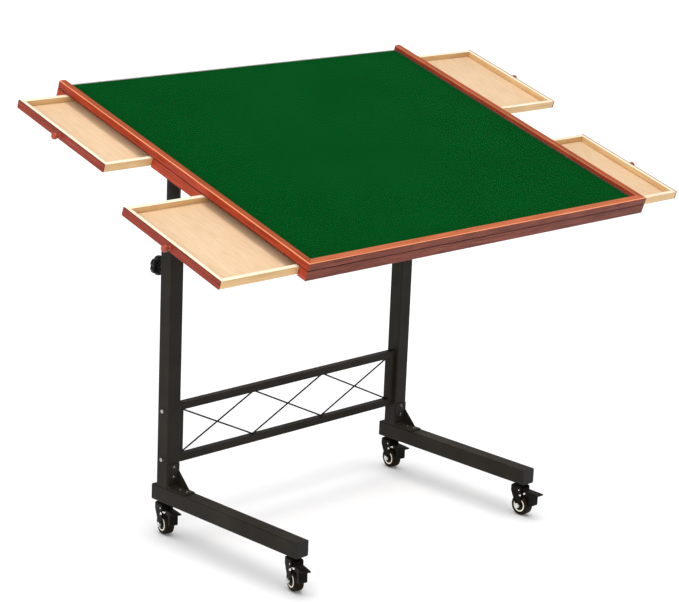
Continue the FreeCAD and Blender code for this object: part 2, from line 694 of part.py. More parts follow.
def screw(name, at, towards, sizes):
    """A pan-headed screw that goes in along towards, with its head on at."""
    shank, head, head_height, length = sizes
    backwards = towards[1:] if towards.startswith("-") else f"-{towards}"
    body = cylinder(f"{name}Shank", at, f"{shank} / 2", length, towards)
    top = cone(f"{name}Head", at, f"{head} / 2", f"{head} / 2 * {PAN_CROWN}", head_height, backwards)
    return fuse(name, body, top)


def stand_bolts():
    """The panel's four bolts and the eight screws of the gussets."""
    bolts = []
    rail_sizes = (
        "rail_bolt",
        "rail_bolt_head",
        "rail_bolt_head_height",
        "leg_size + rail_bolt_grip",
    )
    sheet_sizes = (
        "gusset_screw",
        "gusset_screw_head",
        "gusset_screw_head_height",
        "gusset_sheet + gusset_screw_reach",
    )
    for side_name, side in SIDES:
        middle = f"{side} * leg_spacing / 2"
        inwards = "x" if side < 0 else "-x"
        for index, height in enumerate(("lower_bolt", "upper_bolt")):
            at = (f"{middle} + {side} * leg_size / 2", "0", height)
            bolts.append(screw(f"RailBolt{side_name}{index}", at, inwards, rail_sizes))
        for index, reach in enumerate(("gusset_screw_near", "gusset_screw_far")):
            on_leg = (middle, "-leg_size / 2 - gusset_sheet", f"foot_top + {reach}")
            bolts.append(screw(f"LegScrew{side_name}{index}", on_leg, "y", sheet_sizes))
            on_foot = (middle, f"-leg_size / 2 - {reach}", "foot_top + gusset_sheet")
            bolts.append(screw(f"FootScrew{side_name}{index}", on_foot, "-z", sheet_sizes))
    stand_part("stand_bolts", group("StandBolts", *bolts))


def gusset(side_name, side):
    """Folded sheet in the corner of leg and foot, with a web on its right-hand edge."""
    name = f"Gusset{side_name.title()}"
    body = new_body(name)
    face, plate = "-leg_size / 2", "gusset_sheet"
    corner_y, corner_z = f"{face} - {plate}", f"foot_top + {plate}"
    profile = new_sketch(body, f"{name}Profile", "YZ_Plane")
    outline(
        profile,
        [
            (face, "foot_top"),
            (face, "foot_top + gusset_leg"),
            (corner_y, "foot_top + gusset_leg"),
            (corner_y, f"{corner_z} + gusset_bend", "gusset_bend", 1),
            (f"{corner_y} - gusset_bend", corner_z),
            (f"{face} - gusset_leg", corner_z),
            (f"{face} - gusset_leg", "foot_top"),
        ],
    )
    pad(body, f"{name}Plates", profile, "gusset_width", both_ways=True)
    web = new_sketch(body, f"{name}WebProfile", "YZ_Plane", "gusset_width / 2 - gusset_sheet")
    outline(
        web,
        [
            (corner_y, corner_z),
            (f"{face} - gusset_web_reach", corner_z),
            (corner_y, "foot_top + gusset_web_reach"),
        ],
    )
    pad(body, f"{name}Web", web, "gusset_sheet")
    bore = "gusset_screw / 2 + bolt_clearance"
    leg_holes = new_sketch(body, f"{name}LegHoles", "XZ_Plane")
    foot_holes = new_sketch(body, f"{name}FootHoles", "XY_Plane")
    for reach in ("gusset_screw_near", "gusset_screw_far"):
        circle(leg_holes, "0", f"foot_top + {reach}", bore)
        circle(foot_holes, "0", f"{face} - {reach}", bore)
    pocket(body, f"{name}LegPocket", leg_holes)
    body.Tip = pocket(body, f"{name}FootPocket", foot_holes)
    stand_part(f"gusset_{side_name}", body, f"{side} * leg_spacing / 2")


def star_knob(node, stud, place, towards):
    """Star knob with its stud: the knob stands up from z = 0, the stud goes down from it."""
    name = "".join(word.title() for word in node.split("_"))
    body = new_body(name)
    profile = new_sketch(body, f"{name}Profile", "XZ_Plane")
    rim, edge = "star_diameter / 2", "star_edge"
    outline(
        profile,
        [
            ("0", f"-({stud})"),
            ("stud_diameter / 2", f"-({stud})"),
            ("stud_diameter / 2", "0"),
            ("star_boss / 2", "0"),
            ("star_boss / 2", "star_boss_height"),
            (f"{rim} - {edge}", "star_boss_height", edge, 1),
            (rim, f"star_boss_height + {edge}"),
            (rim, f"star_thickness - {edge}", edge, 1),
            (f"{rim} - {edge}", "star_thickness"),
            ("0", "star_thickness"),
        ],
    )
    revolve(body, f"{name}Turned", profile)
    hollow = new_sketch(body, f"{name}Hollow", "XY_Plane")
    circle(hollow, f"{rim} + star_scallop_centre", "0", "star_scallop / 2")
    scallop = pocket(body, f"{name}Scallop", hollow)
    pattern = body.newObject("PartDesign::PolarPattern", f"{name}Lobes")
    pattern.Originals = [scallop]
    pattern.Axis = (hollow, ["N_Axis"])
    pattern.Angle = 360
    bind(pattern, Occurrences="star_lobes")
    body.Tip = pattern
    body.Placement = Placement(Vector(), TURN_TO[towards])
    stand_part(node, body, *place)


def height_knobs():
    for side_name, side in SIDES:
        place = (f"{side} * leg_spacing / 2", "height_knob_y", "height_knob_z")
        stud = "height_knob_y - inner_diameter / 2 - clamp_gap"
        star_knob(f"height_knob_{side_name}", stud, place, "y")


# The casters


def fork(name):
    """Pressed fork with its swivel race, washer and stem."""
    sheet = new_body(f"{name}Sheet")
    front_view = new_sketch(sheet, f"{name}Front", "XZ_Plane")
    outside, inside, bend = "fork_width / 2", "fork_inside / 2", "fork_bend"
    bend_start, around = "fork_top - fork_sheet - fork_bend", "(fork_bend + fork_sheet)"
    outline(
        front_view,
        [
            (outside, "0"),
            (outside, bend_start, around, 1),
            (f"{outside} - {around}", "fork_top"),
            (f"-({outside} - {around})", "fork_top", around, 1),
            (f"-{outside}", bend_start),
            (f"-{outside}", "0"),
            (f"-{inside}", "0"),
            (f"-{inside}", bend_start, bend, -1),
            (f"-({inside} - {bend})", "fork_top - fork_sheet"),
            (f"{inside} - {bend}", "fork_top - fork_sheet", bend, -1),
            (inside, bend_start),
            (inside, "0"),
        ],
    )
    pad(sheet, f"{name}Strip", front_view, "4 * fork_half_length", both_ways=True)
    blank = new_body(f"{name}Blank")
    side_view = new_sketch(blank, f"{name}Side", "YZ_Plane")
    boss, half = "fork_boss_radius", "fork_half_length"
    outline(
        side_view,
        [
            (half, "fork_top - fork_crown"),
            (f"{half} - fork_crown", "fork_top"),
            (f"-{half} + fork_crown", "fork_top"),
            (f"-{half}", "fork_top - fork_crown"),
            (f"-{half}", "fork_top - fork_shoulder"),
            (f"axle_y - {boss}", "axle_z", boss, 1),
            ("axle_y", f"axle_z - {boss}", boss, 1),
            (f"axle_y + {boss}", "axle_z"),
            (half, "fork_top - fork_shoulder"),
        ],
    )
    pad(blank, f"{name}Width", side_view, "2 * fork_width", both_ways=True)
    bores = []
    for rod, along, up in (("axle_diameter", "axle_y", "axle_z"), ("pedal_pin", "pin_y", "pin_z")):
        at = ("-fork_width", along, up)
        bores.append(cylinder(f"{name}Bore{rod}", at, f"{rod} / 2 + stud_clearance", "2 * fork_width", "x"))
    yoke = cut(f"{name}Cheeks", common(f"{name}Yoke", sheet, blank), *bores)
    top = ("0", "0", "fork_top")
    race = cone(f"{name}Race", top, "race_diameter / 2", "washer_diameter / 2", "race_height")
    washer_at = ("0", "0", "washer_top - washer_height")
    washer = cylinder(f"{name}Washer", washer_at, "washer_diameter / 2", "washer_height")
    stem = cylinder(f"{name}Stem", top, "stem_diameter / 2", "caster_height - fork_top + stem_length")
    return fuse(name, yoke, race, washer, stem)


def wheel(name):
    """Tyred wheel, turned about its axle, with a dished side inside a raised ring."""
    body = new_body(name)
    half = new_sketch(body, f"{name}Half", "XY_Plane")
    face, tread, edge = "wheel_width / 2", "wheel_diameter / 2", "wheel_shoulder"
    dish = f"{face} - wheel_dish"
    bore = "axle_diameter / 2 + stud_clearance"
    outline(
        half,
        [
            (f"-({face})", bore),
            (face, bore),
            (face, "wheel_hub / 2"),
            (dish, "wheel_hub / 2"),
            (dish, "wheel_ring_inner / 2"),
            (face, "wheel_ring_inner / 2"),
            (face, f"{tread} - {edge}", edge, 1),
            (f"{face} - {edge}", tread),
            (f"-({face}) + {edge}", tread, edge, 1),
            (f"-({face})", f"{tread} - {edge}"),
            (f"-({face})", "wheel_ring_inner / 2"),
            (f"-({dish})", "wheel_ring_inner / 2"),
            (f"-({dish})", "wheel_hub / 2"),
            (f"-({face})", "wheel_hub / 2"),
        ],
    )
    revolve(body, f"{name}Turned", half, "H_Axis")
    return body


def axle(name):
    """Axle bolt with its nut, and the pin of the brake pedal."""
    side = "fork_width / 2"
    shaft = cylinder(f"{name}Shaft", (f"-{side}", "axle_y", "axle_z"), "axle_diameter / 2", "fork_width", "x")
    head = hexagon(f"{name}Head", (side, "axle_y", "axle_z"), "axle_nut", "axle_nut_height", "x")
    nut = hexagon(f"{name}Nut", (f"-{side}", "axle_y", "axle_z"), "axle_nut", "axle_nut_height", "-x")
    pin = cylinder(f"{name}Pin", (f"-{side}", "pin_y", "pin_z"), "pedal_pin / 2", "fork_width", "x")
    return group(name, fuse(f"{name}Bolt", shaft, head, nut), pin)


def pedal(name):
    """Brake pedal: a lever with an eye on its pin, a thin tip and a shoe ahead of the wheel."""
    body = new_body(name)
    side_view = new_sketch(body, f"{name}Side", "YZ_Plane")
    tip, shoe, eye = "-pedal_reach", "-pedal_shoe_reach", "pedal_eye"
    tip_top = "caster_height - pedal_tip_drop"
    lever_top = f"{tip_top} + pedal_tip_fall"
    shoe_round, shoe_back = "pedal_shoe_thickness / 2", f"{shoe} + pedal_shoe_thickness"
    shoe_end = f"caster_height - pedal_shoe_drop + {shoe_round}"
    outline(
        side_view,
        [
            ("pin_y", f"pin_z + {eye}"),
            ("-fork_half_length", f"pin_z + {eye}"),
            ("-fork_half_length - pedal_step", lever_top),
            (shoe, lever_top),
            (tip, tip_top),
            (tip, f"{tip_top} - pedal_tip"),
            (shoe, f"{lever_top} - pedal_tip"),
            (shoe, shoe_end, shoe_round, 1),
            (f"{shoe} + {shoe_round}", f"{shoe_end} - {shoe_round}", shoe_round, 1),
            (shoe_back, shoe_end),
            (shoe_back, f"{lever_top} - pedal_lever"),
            ("pin_y", f"pin_z - {eye}", eye, 1),
            (f"pin_y + {eye}", "pin_z", eye, 1),
        ],
    )
    pad(body, f"{name}Width", side_view, "pedal_width", both_ways=True)
    bore = new_sketch(body, f"{name}Bore", "YZ_Plane")
    circle(bore, "pin_y", "pin_z", "pedal_pin / 2 + stud_clearance")
    body.Tip = pocket(body, f"{name}PinHole", bore)
    return body


def swung(thing, degrees):
    """Turn a piece of a caster about the stem, clockwise from above."""
    thing.Placement = Placement(Vector(), Rotation(Vector(0, 0, -1), number(degrees)))
    thing.setExpression("Placement.Rotation.Angle", formula(degrees))
    return thing


def casters():
    for end in ("front", "rear"):
        for side_name, side in SIDES:
            name = f"Caster{end.title()}{side_name.title()}"
            across, along = f"{side} * leg_spacing / 2", f"stem_{end}"
            prefix, turn = f"caster_{end}_{side_name}", f"swung_{end}_{side_name}"
            hub = (f"{across} + axle_y * sin({turn})", f"{along} + axle_y * cos({turn})", "axle_z")
            stand_part(f"{prefix}_fork", swung(fork(f"{name}Fork"), turn), across, along)
            stand_part(f"{prefix}_wheel", swung(wheel(f"{name}Wheel"), turn), *hub)
            stand_part(f"{prefix}_axle", swung(axle(f"{name}Axle"), turn), across, along)
            stand_part(f"{prefix}_pedal", swung(pedal(f"{name}Pedal"), turn), across, along)


# The inner legs and the tilting head


def inner_tube(side_name, side):
    name = f"Inner{side_name.title()}"
    body = new_body(name)
    section = new_sketch(body, f"{name}Section", "XY_Plane", "inner_bottom")
    circle(section, "0", "0", "inner_diameter / 2")
    circle(section, "0", "0", "inner_diameter / 2 - inner_wall")
    pad(body, f"{name}Length", section, "inner_top - inner_bottom")
    stand_part(f"inner_tube_{side_name}", body, f"{side} * leg_spacing / 2")


def mast_head(side_name, side):
    """Head with a round spigot in the inner leg, rounded about the pivot, with its bolt and
    stud holes."""
    name = f"Head{side_name.title()}"
    body = new_body(f"{name}Block")
    half = "head_size / 2"
    side_view = new_sketch(body, f"{name}Side", "YZ_Plane")
    outline(
        side_view,
        [
            (f"-{half}", "inner_top"),
            (half, "inner_top"),
            (half, "pivot_height", half, 1),
            ("0", f"pivot_height + {half}", half, 1),
            (f"-{half}", "pivot_height"),
        ],
    )
    pad(body, f"{name}Width", side_view, "head_size", both_ways=True)
    spigot_radius = "inner_diameter / 2 - inner_wall - spigot_clearance"
    spigot = cylinder(f"{name}Spigot", ("0", "0", "inner_top - head_spigot"), spigot_radius, "head_spigot")
    stud_hole = "stud_diameter / 2 + stud_clearance"
    pivot = cylinder(f"{name}Pivot", ("-head_size", "0", "pivot_height"), stud_hole, "2 * head_size", "x")
    inwards = "x" if side > 0 else "-x"
    lock_at = (f"-{side} * {half}", "0", "lock_z")
    lock = cylinder(f"{name}Lock", lock_at, stud_hole, "lock_stud_depth + 2 * clamp_gap", inwards)
    whole = cut(name, fuse(f"{name}Forged", body, spigot), pivot, lock)
    stand_part(f"mast_head_{side_name}", whole, f"{side} * leg_spacing / 2")


def pivot_bolts():
    """A bolt through each bearer and head, with its nut."""
    bolts = []
    for side_name, side in SIDES:
        name = f"PivotBolt{side_name.title()}"
        half, middle = "bearer_width / 2 + clamp_gap", f"{side} * leg_spacing / 2"
        left = (f"{middle} - ({half})", "0", "pivot_height")
        right = (f"{middle} + {half}", "0", "pivot_height")
        shaft = cylinder(f"{name}Shaft", left, "stud_diameter / 2", f"2 * ({half})", "x")
        head = hexagon(f"{name}Head", right, "bolt_head", "bolt_head_height", "x")
        nut = hexagon(f"{name}Nut", left, "bolt_head", "bolt_head_height", "-x")
        bolts.append(fuse(name, shaft, head, nut))
    stand_part("pivot_bolts", group("PivotBolts", *bolts))


def lock_knobs():
    for side_name, side in SIDES:
        reach = "bearer_width / 2 + clamp_gap"
        place = (f"{side} * (leg_spacing / 2 - ({reach}))", "0", "lock_z")
        stud = f"{reach} - head_size / 2 + lock_stud_depth"
        star_knob(f"lock_knob_{side_name}", stud, place, "-x" if side > 0 else "x")


def bearer(side_name, side):
    """Channel under the top: its flanges hang a lobe about the pivot, and the inner lobe has
    the curved slot of the tilt lock."""
    name = f"Bearer{side_name.title()}"
    front, rear, flange = "bearer_front", "bearer_rear", "underside - bearer_flange"
    end = "underside - bearer_end_flange"
    bottom, corner = "lobe_bottom", "lobe_corner"
    body = new_body(f"{name}Blank")
    side_view = new_sketch(body, f"{name}Side", "YZ_Plane")
    outline(
        side_view,
        [
            (front, "underside"),
            (front, end),
            (f"{front} + bearer_taper", flange),
            (f"lobe_front - {corner}", flange, corner, -1),
            ("lobe_front", f"{flange} - {corner}"),
            ("lobe_front", f"{bottom} + {corner}", corner, 1),
            (f"lobe_front + {corner}", bottom),
            (f"lobe_rear - {corner}", bottom, corner, 1),
            ("lobe_rear", f"{bottom} + {corner}"),
            ("lobe_rear", f"{flange} - {corner}", corner, -1),
            (f"lobe_rear + {corner}", flange),
            (f"{rear} - bearer_taper", flange),
            (rear, end),
            (rear, "underside"),
        ],
    )
    pad(body, f"{name}Width", side_view, "bearer_width", both_ways=True)
    channel = box(
        f"{name}Channel",
        ("-bearer_inside / 2", "bearer_inside / 2"),
        (f"2 * {front}", f"2 * {rear}"),
        (f"2 * ({bottom})", "underside - bearer_sheet"),
    )
    bore = "stud_diameter / 2 + stud_clearance"
    pivot = cylinder(f"{name}Pivot", ("-bearer_width", "0", "0"), bore, "2 * bearer_width", "x")
    slot = lock_slot(name, side)
    screw_hole = "bearer_screw / 2 + bolt_clearance"
    holes = [
        cylinder(f"{name}Hole{index}", ("0", place, "0"), screw_hole, "2 * underside")
        for index, place in enumerate(BEARER_SCREWS)
    ]
    whole = cut(f"{name}Cut", body, channel, pivot, slot, *holes)
    top_part(f"bearer_{side_name}", group(name, move(whole, f"{side} * leg_spacing / 2", "0", "0")))


def lock_slot(name, side):
    """Curved slot from straight below the pivot to the steepest tilt."""
    half = "slot_radius"
    across = "0" if side > 0 else "bearer_width"
    downwards = Rotation(Vector(1, 0, -1), 180)
    ring = []
    for part, radius in (("Outer", f"lock_radius + {half}"), ("Inner", f"lock_radius - ({half})")):
        disc = cylinder(f"{name}Slot{part}", (across, "0", "0"), radius, "bearer_width")
        disc.Placement = Placement(Vector(), downwards)
        ring.append(disc)
    ring[0].setExpression("Angle", formula("tilt_range"))
    band = cut(f"{name}SlotBand", *ring)
    ends = [
        cylinder(f"{name}SlotEnd{index}", (across, along, up), half, "bearer_width", "-x")
        for index, (along, up) in enumerate(
            (
                ("0", "-lock_radius"),
                ("-lock_radius * sin(tilt_range)", "-lock_radius * cos(tilt_range)"),
            )
        )
    ]
    return fuse(f"{name}Slot", band, *ends)


BEARER_SCREWS = ("front_screw", "middle_screw", "rear_screw")


def bearer_screws():
    """Wood screws up through the bearers into the battens and the rear rail."""
    length = "bearer_sheet + bearer_screw_reach"
    sizes = ("bearer_screw", "bearer_screw_head", "bearer_screw_head_height", length)
    screws = [
        screw(
            f"BearerScrew{side_name}{index}",
            (f"{side} * leg_spacing / 2", place, "underside - bearer_sheet"),
            "z",
            sizes,
        )
        for side_name, side in SIDES
        for index, place in enumerate(BEARER_SCREWS)
    ]
    top_part("bearer_screws", group("BearerScrews", *screws))


# The top


def rail_section(outer, inner, side):
    """Section of a moulded rail. outer and inner are its faces, and side is 1 where the outer
    face looks towards the positive axis of the sketch."""
    low, high, line = "underside", "rail_top", "moulding_line"
    tongue = f"{inner} + {side} * board_tongue"
    return [
        (inner, "bay_floor"),
        (f"{outer} - {side} * panel_inset", "bay_floor"),
        (f"{outer} - {side} * panel_inset", low),
        (outer, low),
        (outer, f"{line} - moulding_width / 2"),
        (f"{outer} - {side} * moulding_depth", line),
        (outer, f"{line} + moulding_width / 2"),
        (outer, f"{high} - arris_radius", "arris_radius", side),
        (f"{outer} - {side} * arris_radius", high),
        (f"{inner} + {side} * rim_chamfer", high),
        (inner, f"{high} - rim_chamfer"),
        (inner, "board_top"),
        (tongue, "board_top"),
        (tongue, "board_bottom"),
        (inner, "board_bottom"),
    ]


def side_rail(side_name, side):
    """Moulded side rail, mitred at the front, with the two drawer openings under it."""
    name = f"Rail{side_name.title()}"
    body = new_body(f"{name}Moulding")
    outer, inner = f"{side} * half_width", f"{side} * inner_half_width"
    section = new_sketch(body, f"{name}Section", "XZ_Plane", "-front_edge")
    outline(section, rail_section(outer, inner, side))
    pad(body, f"{name}Length", section, "board_depth", reverse=True)
    mitre = new_sketch(body, f"{name}Mitre", "XY_Plane")
    outline(mitre, [(outer, "front_edge"), (inner, "front_edge + rail_width"), (inner, "front_edge")])
    body.Tip = pocket(body, f"{name}MitreCut", mitre)
    across = either_side(side, "inner_half_width - rail_width", "half_width + rail_width")
    openings = [
        box(
            f"{name}Opening{bay}",
            across,
            (f"{bay}_bay", f"{bay}_bay + bay_length"),
            ("0", "opening_top"),
        )
        for bay in ("front", "rear")
    ]
    top_part(f"{side_name}_rail", cut(name, body, *openings))


def front_rail():
    """Moulded front rail, mitred at both ends."""
    body = new_body("RailFront")
    inner = "front_edge + rail_width"
    section = new_sketch(body, "RailFrontSection", "YZ_Plane")
    outline(section, rail_section("front_edge", inner, -1))
    pad(body, "RailFrontLength", section, "board_width", both_ways=True)
    for side_name, side in SIDES:
        end = f"{side} * half_width"
        mitre = new_sketch(body, f"RailFrontMitre{side_name}", "XY_Plane")
        outline(mitre, [(end, "front_edge"), (end, inner), (f"{side} * inner_half_width", inner)])
        body.Tip = pocket(body, f"RailFrontCut{side_name}", mitre)
    top_part("front_rail", body)


def rear_rail():
    """Low rear rail under the base board."""
    body = new_body("RailRear")
    inner, inset = "rear_edge - rail_width", "rear_edge - panel_inset"
    section = new_sketch(body, "RailRearSection", "YZ_Plane")
    corners = [
        (inner, "bay_floor"),
        (inset, "bay_floor"),
        (inset, "underside"),
        ("rear_edge", "underside"),
        ("rear_edge", "board_bottom"),
        (inner, "board_bottom"),
    ]
    outline(section, corners)
    pad(body, "RailRearLength", section, "2 * inner_half_width", both_ways=True)
    top_part("rear_rail", body)


def flat_panel(node, half_across, front, rear, low, thickness, corner=None):
    """A flat sheet in the plane of the top."""
    name = "".join(word.title() for word in node.split("_"))
    body = new_body(name)
    plan = new_sketch(body, f"{name}Plan", "XY_Plane", low)
    limits = (f"-({half_across})", half_across, front, rear)
    if corner:
        outline(plan, rounded(*limits, corner))
    else:
        left, right, near, far = limits
        outline(plan, [(left, near), (right, near), (right, far), (left, far)])
    pad(body, f"{name}Sheet", plan, thickness)
    top_part(node, body)


def panels():
    board_rear = "rear_edge - board_rear_gap"
    flat_panel(
        "bottom_panel",
        "half_width - panel_inset",
        "front_edge + panel_inset",
        "rear_edge - panel_inset",
        "underside",
        "panel_thickness",
    )
    flat_panel(
        "base_board",
        "inner_half_width + board_tongue",
        "front_edge + rail_width - board_tongue",
        board_rear,
        "board_bottom",
        "board_thickness",
    )
    felt_rear = f"{board_rear} - felt_rear_gap"
    felt_front = "front_edge + rail_width"
    flat_panel("felt", "inner_half_width", felt_front, felt_rear, "board_top", "felt_thickness")
    flat_panel(
        "clear_cover",
        "inner_half_width - cover_gap",
        f"{felt_front} + cover_gap",
        f"{felt_rear} - cover_gap",
        "felt_top + cover_seat",
        "cover_thickness",
        "cover_corner",
    )


def battens():
    """Battens that carry the base board: beside the bays, and behind each drawer as its stop."""
    heights = ("bay_floor", "board_bottom")
    across = ("-inner_half_width", "inner_half_width")
    front_end = "front_bay + bay_length"
    strips = (
        ("Front", "front_bay - front_batten", "front_bay"),
        ("AfterFront", front_end, f"{front_end} + divider_width"),
        ("BeforeRear", "rear_bay - divider_width", "rear_bay"),
        ("Rear", "rear_bay + bay_length", "rear_bay + bay_length + rear_batten"),
    )
    pieces = [box(f"Batten{name}", across, (start, stop), heights) for name, start, stop in strips]
    for bay in ("front", "rear"):
        along = (f"{bay}_bay", f"{bay}_bay + bay_length")
        for side_name, side in SIDES:
            far = "half_width - drawer_depth - stop_gap"
            stop = either_side(side, f"{far} - stop_batten", far)
            pieces.append(box(f"Stop{bay}{side_name}", stop, along, heights))
    top_part("battens", group("Battens", *pieces))


# The drawers


def drawer(bay, side_name, side):
    """Tray of four walls and a floor, with its back wall raised as the stop, a face and a pull."""
    title = f"Drawer{bay.title()}{side_name.title()}"
    node = f"drawer_{bay}_{side_name}"
    out = f"open_{bay}_{side_name}"
    start = f"{bay}_bay + drawer_side_gap"
    end = f"{start} + drawer_length"
    face_inside = f"half_width - drawer_face + {out}"
    back = f"{face_inside} - tray_depth"
    depth = either_side(side, back, face_inside)
    heights = ("wall_bottom", "wall_top")
    floor_low = "wall_bottom + drawer_floor_rise"
    inner = (f"{start} + drawer_wall", f"{end} - drawer_wall")
    stop_top = "board_bottom - drawer_glide"
    back_wall = either_side(side, back, f"{back} + drawer_wall")
    front_wall = either_side(side, f"{face_inside} - drawer_wall", face_inside)
    between = either_side(side, f"{back} + drawer_wall", f"{face_inside} - drawer_wall")
    walls = group(
        f"{title}Box",
        box(f"{title}Near", depth, (start, f"{start} + drawer_wall"), heights),
        box(f"{title}Far", depth, (f"{end} - drawer_wall", end), heights),
        box(f"{title}Front", front_wall, inner, heights),
        box(f"{title}Back", back_wall, inner, ("wall_bottom", stop_top)),
        box(f"{title}Floor", between, inner, (floor_low, f"{floor_low} + drawer_floor")),
    )
    top_part(f"{node}_box", walls)
    face_bottom, face_top = "wall_bottom", "opening_top - drawer_glide"
    face_across = either_side(side, face_inside, f"{face_inside} + drawer_face")
    face = box(f"{title}FaceBoard", face_across, (start, end), (face_bottom, face_top))
    middle, height = f"{start} + drawer_length / 2", f"({face_bottom} + {face_top}) / 2"
    inwards, outwards = ("-x", "x") if side > 0 else ("x", "-x")
    outside = f"{side} * ({face_inside} + drawer_face)"
    centre = (outside, middle, height)
    screw_hole = "pull_screw / 2 + bolt_clearance"
    hole = cylinder(f"{title}PullHole", centre, screw_hole, "2 * drawer_face", inwards)
    top_part(f"{node}_face", cut(f"{title}Face", face, hole))
    knob = turned_pull(f"{title}Pull")
    knob.Placement = Placement(Vector(), TURN_TO[outwards])
    top_part(f"{node}_pull", group(f"{title}PullSet", move(knob, *centre)))


def turned_pull(name):
    """Small turned pull: a foot, a neck and a ball, with its screw behind it."""
    body = new_body(name)
    profile = new_sketch(body, f"{name}Profile", "XZ_Plane")
    foot_radius, neck, ball = "pull_foot / 2", "pull_neck / 2", "pull_head / 2"
    outline(
        profile,
        [
            ("0", "-drawer_face"),
            ("pull_screw / 2", "-drawer_face"),
            ("pull_screw / 2", "0"),
            (foot_radius, "0"),
            (foot_radius, "pull_foot_edge"),
            (neck, "pull_neck_start"),
            (neck, f"pull_length - {ball} - sqrt(({ball}) ^ 2 - ({neck}) ^ 2)", ball, 1),
            (ball, f"pull_length - {ball}", ball, 1),
            ("0", "pull_length"),
        ],
    )
    revolve(body, f"{name}Turned", profile)
    return body


for side_name, side in SIDES:
    foot(side_name, side)
    leg(side_name, side)
    gusset(side_name, side)
    inner_tube(side_name, side)
    mast_head(side_name, side)
    bearer(side_name, side)
    side_rail(side_name, side)
    for bay in ("front", "rear"):
        drawer(bay, side_name, side)
foot_caps()
leg_collars()
panel_frame()
lattice_wires()
stand_bolts()
height_knobs()
casters()
pivot_bolts()
lock_knobs()
bearer_screws()
front_rail()
rear_rail()
panels()
battens()

doc.recompute()

failed = [thing.Label for thing in doc.Objects if {"Invalid", "Error"} & set(thing.State)]
if failed:
    raise SystemExit(f"failed to build: {failed}")
broken = [part.Label for part in sub_parts if part.Shape.isNull() or not part.Shape.isValid()]
if broken:
    raise SystemExit(f"not a valid shape: {broken}")

os.makedirs("parts", exist_ok=True)
for part in sub_parts:
    part.Shape.exportStep(f"parts/{part.Label}.step")
    solids = len(part.Shape.Solids)
    print(f"{part.Label}: {solids} solid(s), {part.Shape.Volume / 1000:.2f} cm3")
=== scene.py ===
import json
import math

import bmesh
import bpy
from mathutils import Matrix, Vector


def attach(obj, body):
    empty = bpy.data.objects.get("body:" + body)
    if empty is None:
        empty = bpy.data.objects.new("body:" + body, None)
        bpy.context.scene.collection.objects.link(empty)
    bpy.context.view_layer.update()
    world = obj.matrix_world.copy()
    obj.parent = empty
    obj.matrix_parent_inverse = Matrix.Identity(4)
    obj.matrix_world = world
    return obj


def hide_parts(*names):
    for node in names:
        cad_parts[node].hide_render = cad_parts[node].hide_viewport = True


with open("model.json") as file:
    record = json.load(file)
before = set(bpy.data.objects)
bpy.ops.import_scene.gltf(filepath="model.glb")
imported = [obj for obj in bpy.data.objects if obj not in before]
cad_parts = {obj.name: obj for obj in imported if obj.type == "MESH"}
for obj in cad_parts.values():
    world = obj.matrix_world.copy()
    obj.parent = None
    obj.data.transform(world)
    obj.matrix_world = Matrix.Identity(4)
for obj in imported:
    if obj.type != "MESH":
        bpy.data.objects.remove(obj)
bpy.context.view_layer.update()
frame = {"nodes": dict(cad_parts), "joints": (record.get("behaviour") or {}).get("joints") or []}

# Jigsaw puzzle table: stained wooden top with a felt surface and four drawers, on a black steel
# stand with casters. Lengths are metres, written as millimetres times MM. X runs across the
# table, Y from the user to the back and Z up.

MM = 0.001
TILT = math.radians(17.18)
SIDES = (("left", -1), ("right", 1))
ENDS = ("front", "rear")
MIX_ONE, MIX_OTHER, MIX_RESULT = 6, 7, 2  # places of a Mix node's colour sockets

nodes = frame["nodes"]
joints = {joint["name"]: joint for joint in frame["joints"]}
pivot = Vector(joints["tilt"]["pos_m"])
board = Matrix.Translation(pivot) @ Matrix.Rotation(TILT, 4, "X")
into_board = board.inverted()


# Finishes


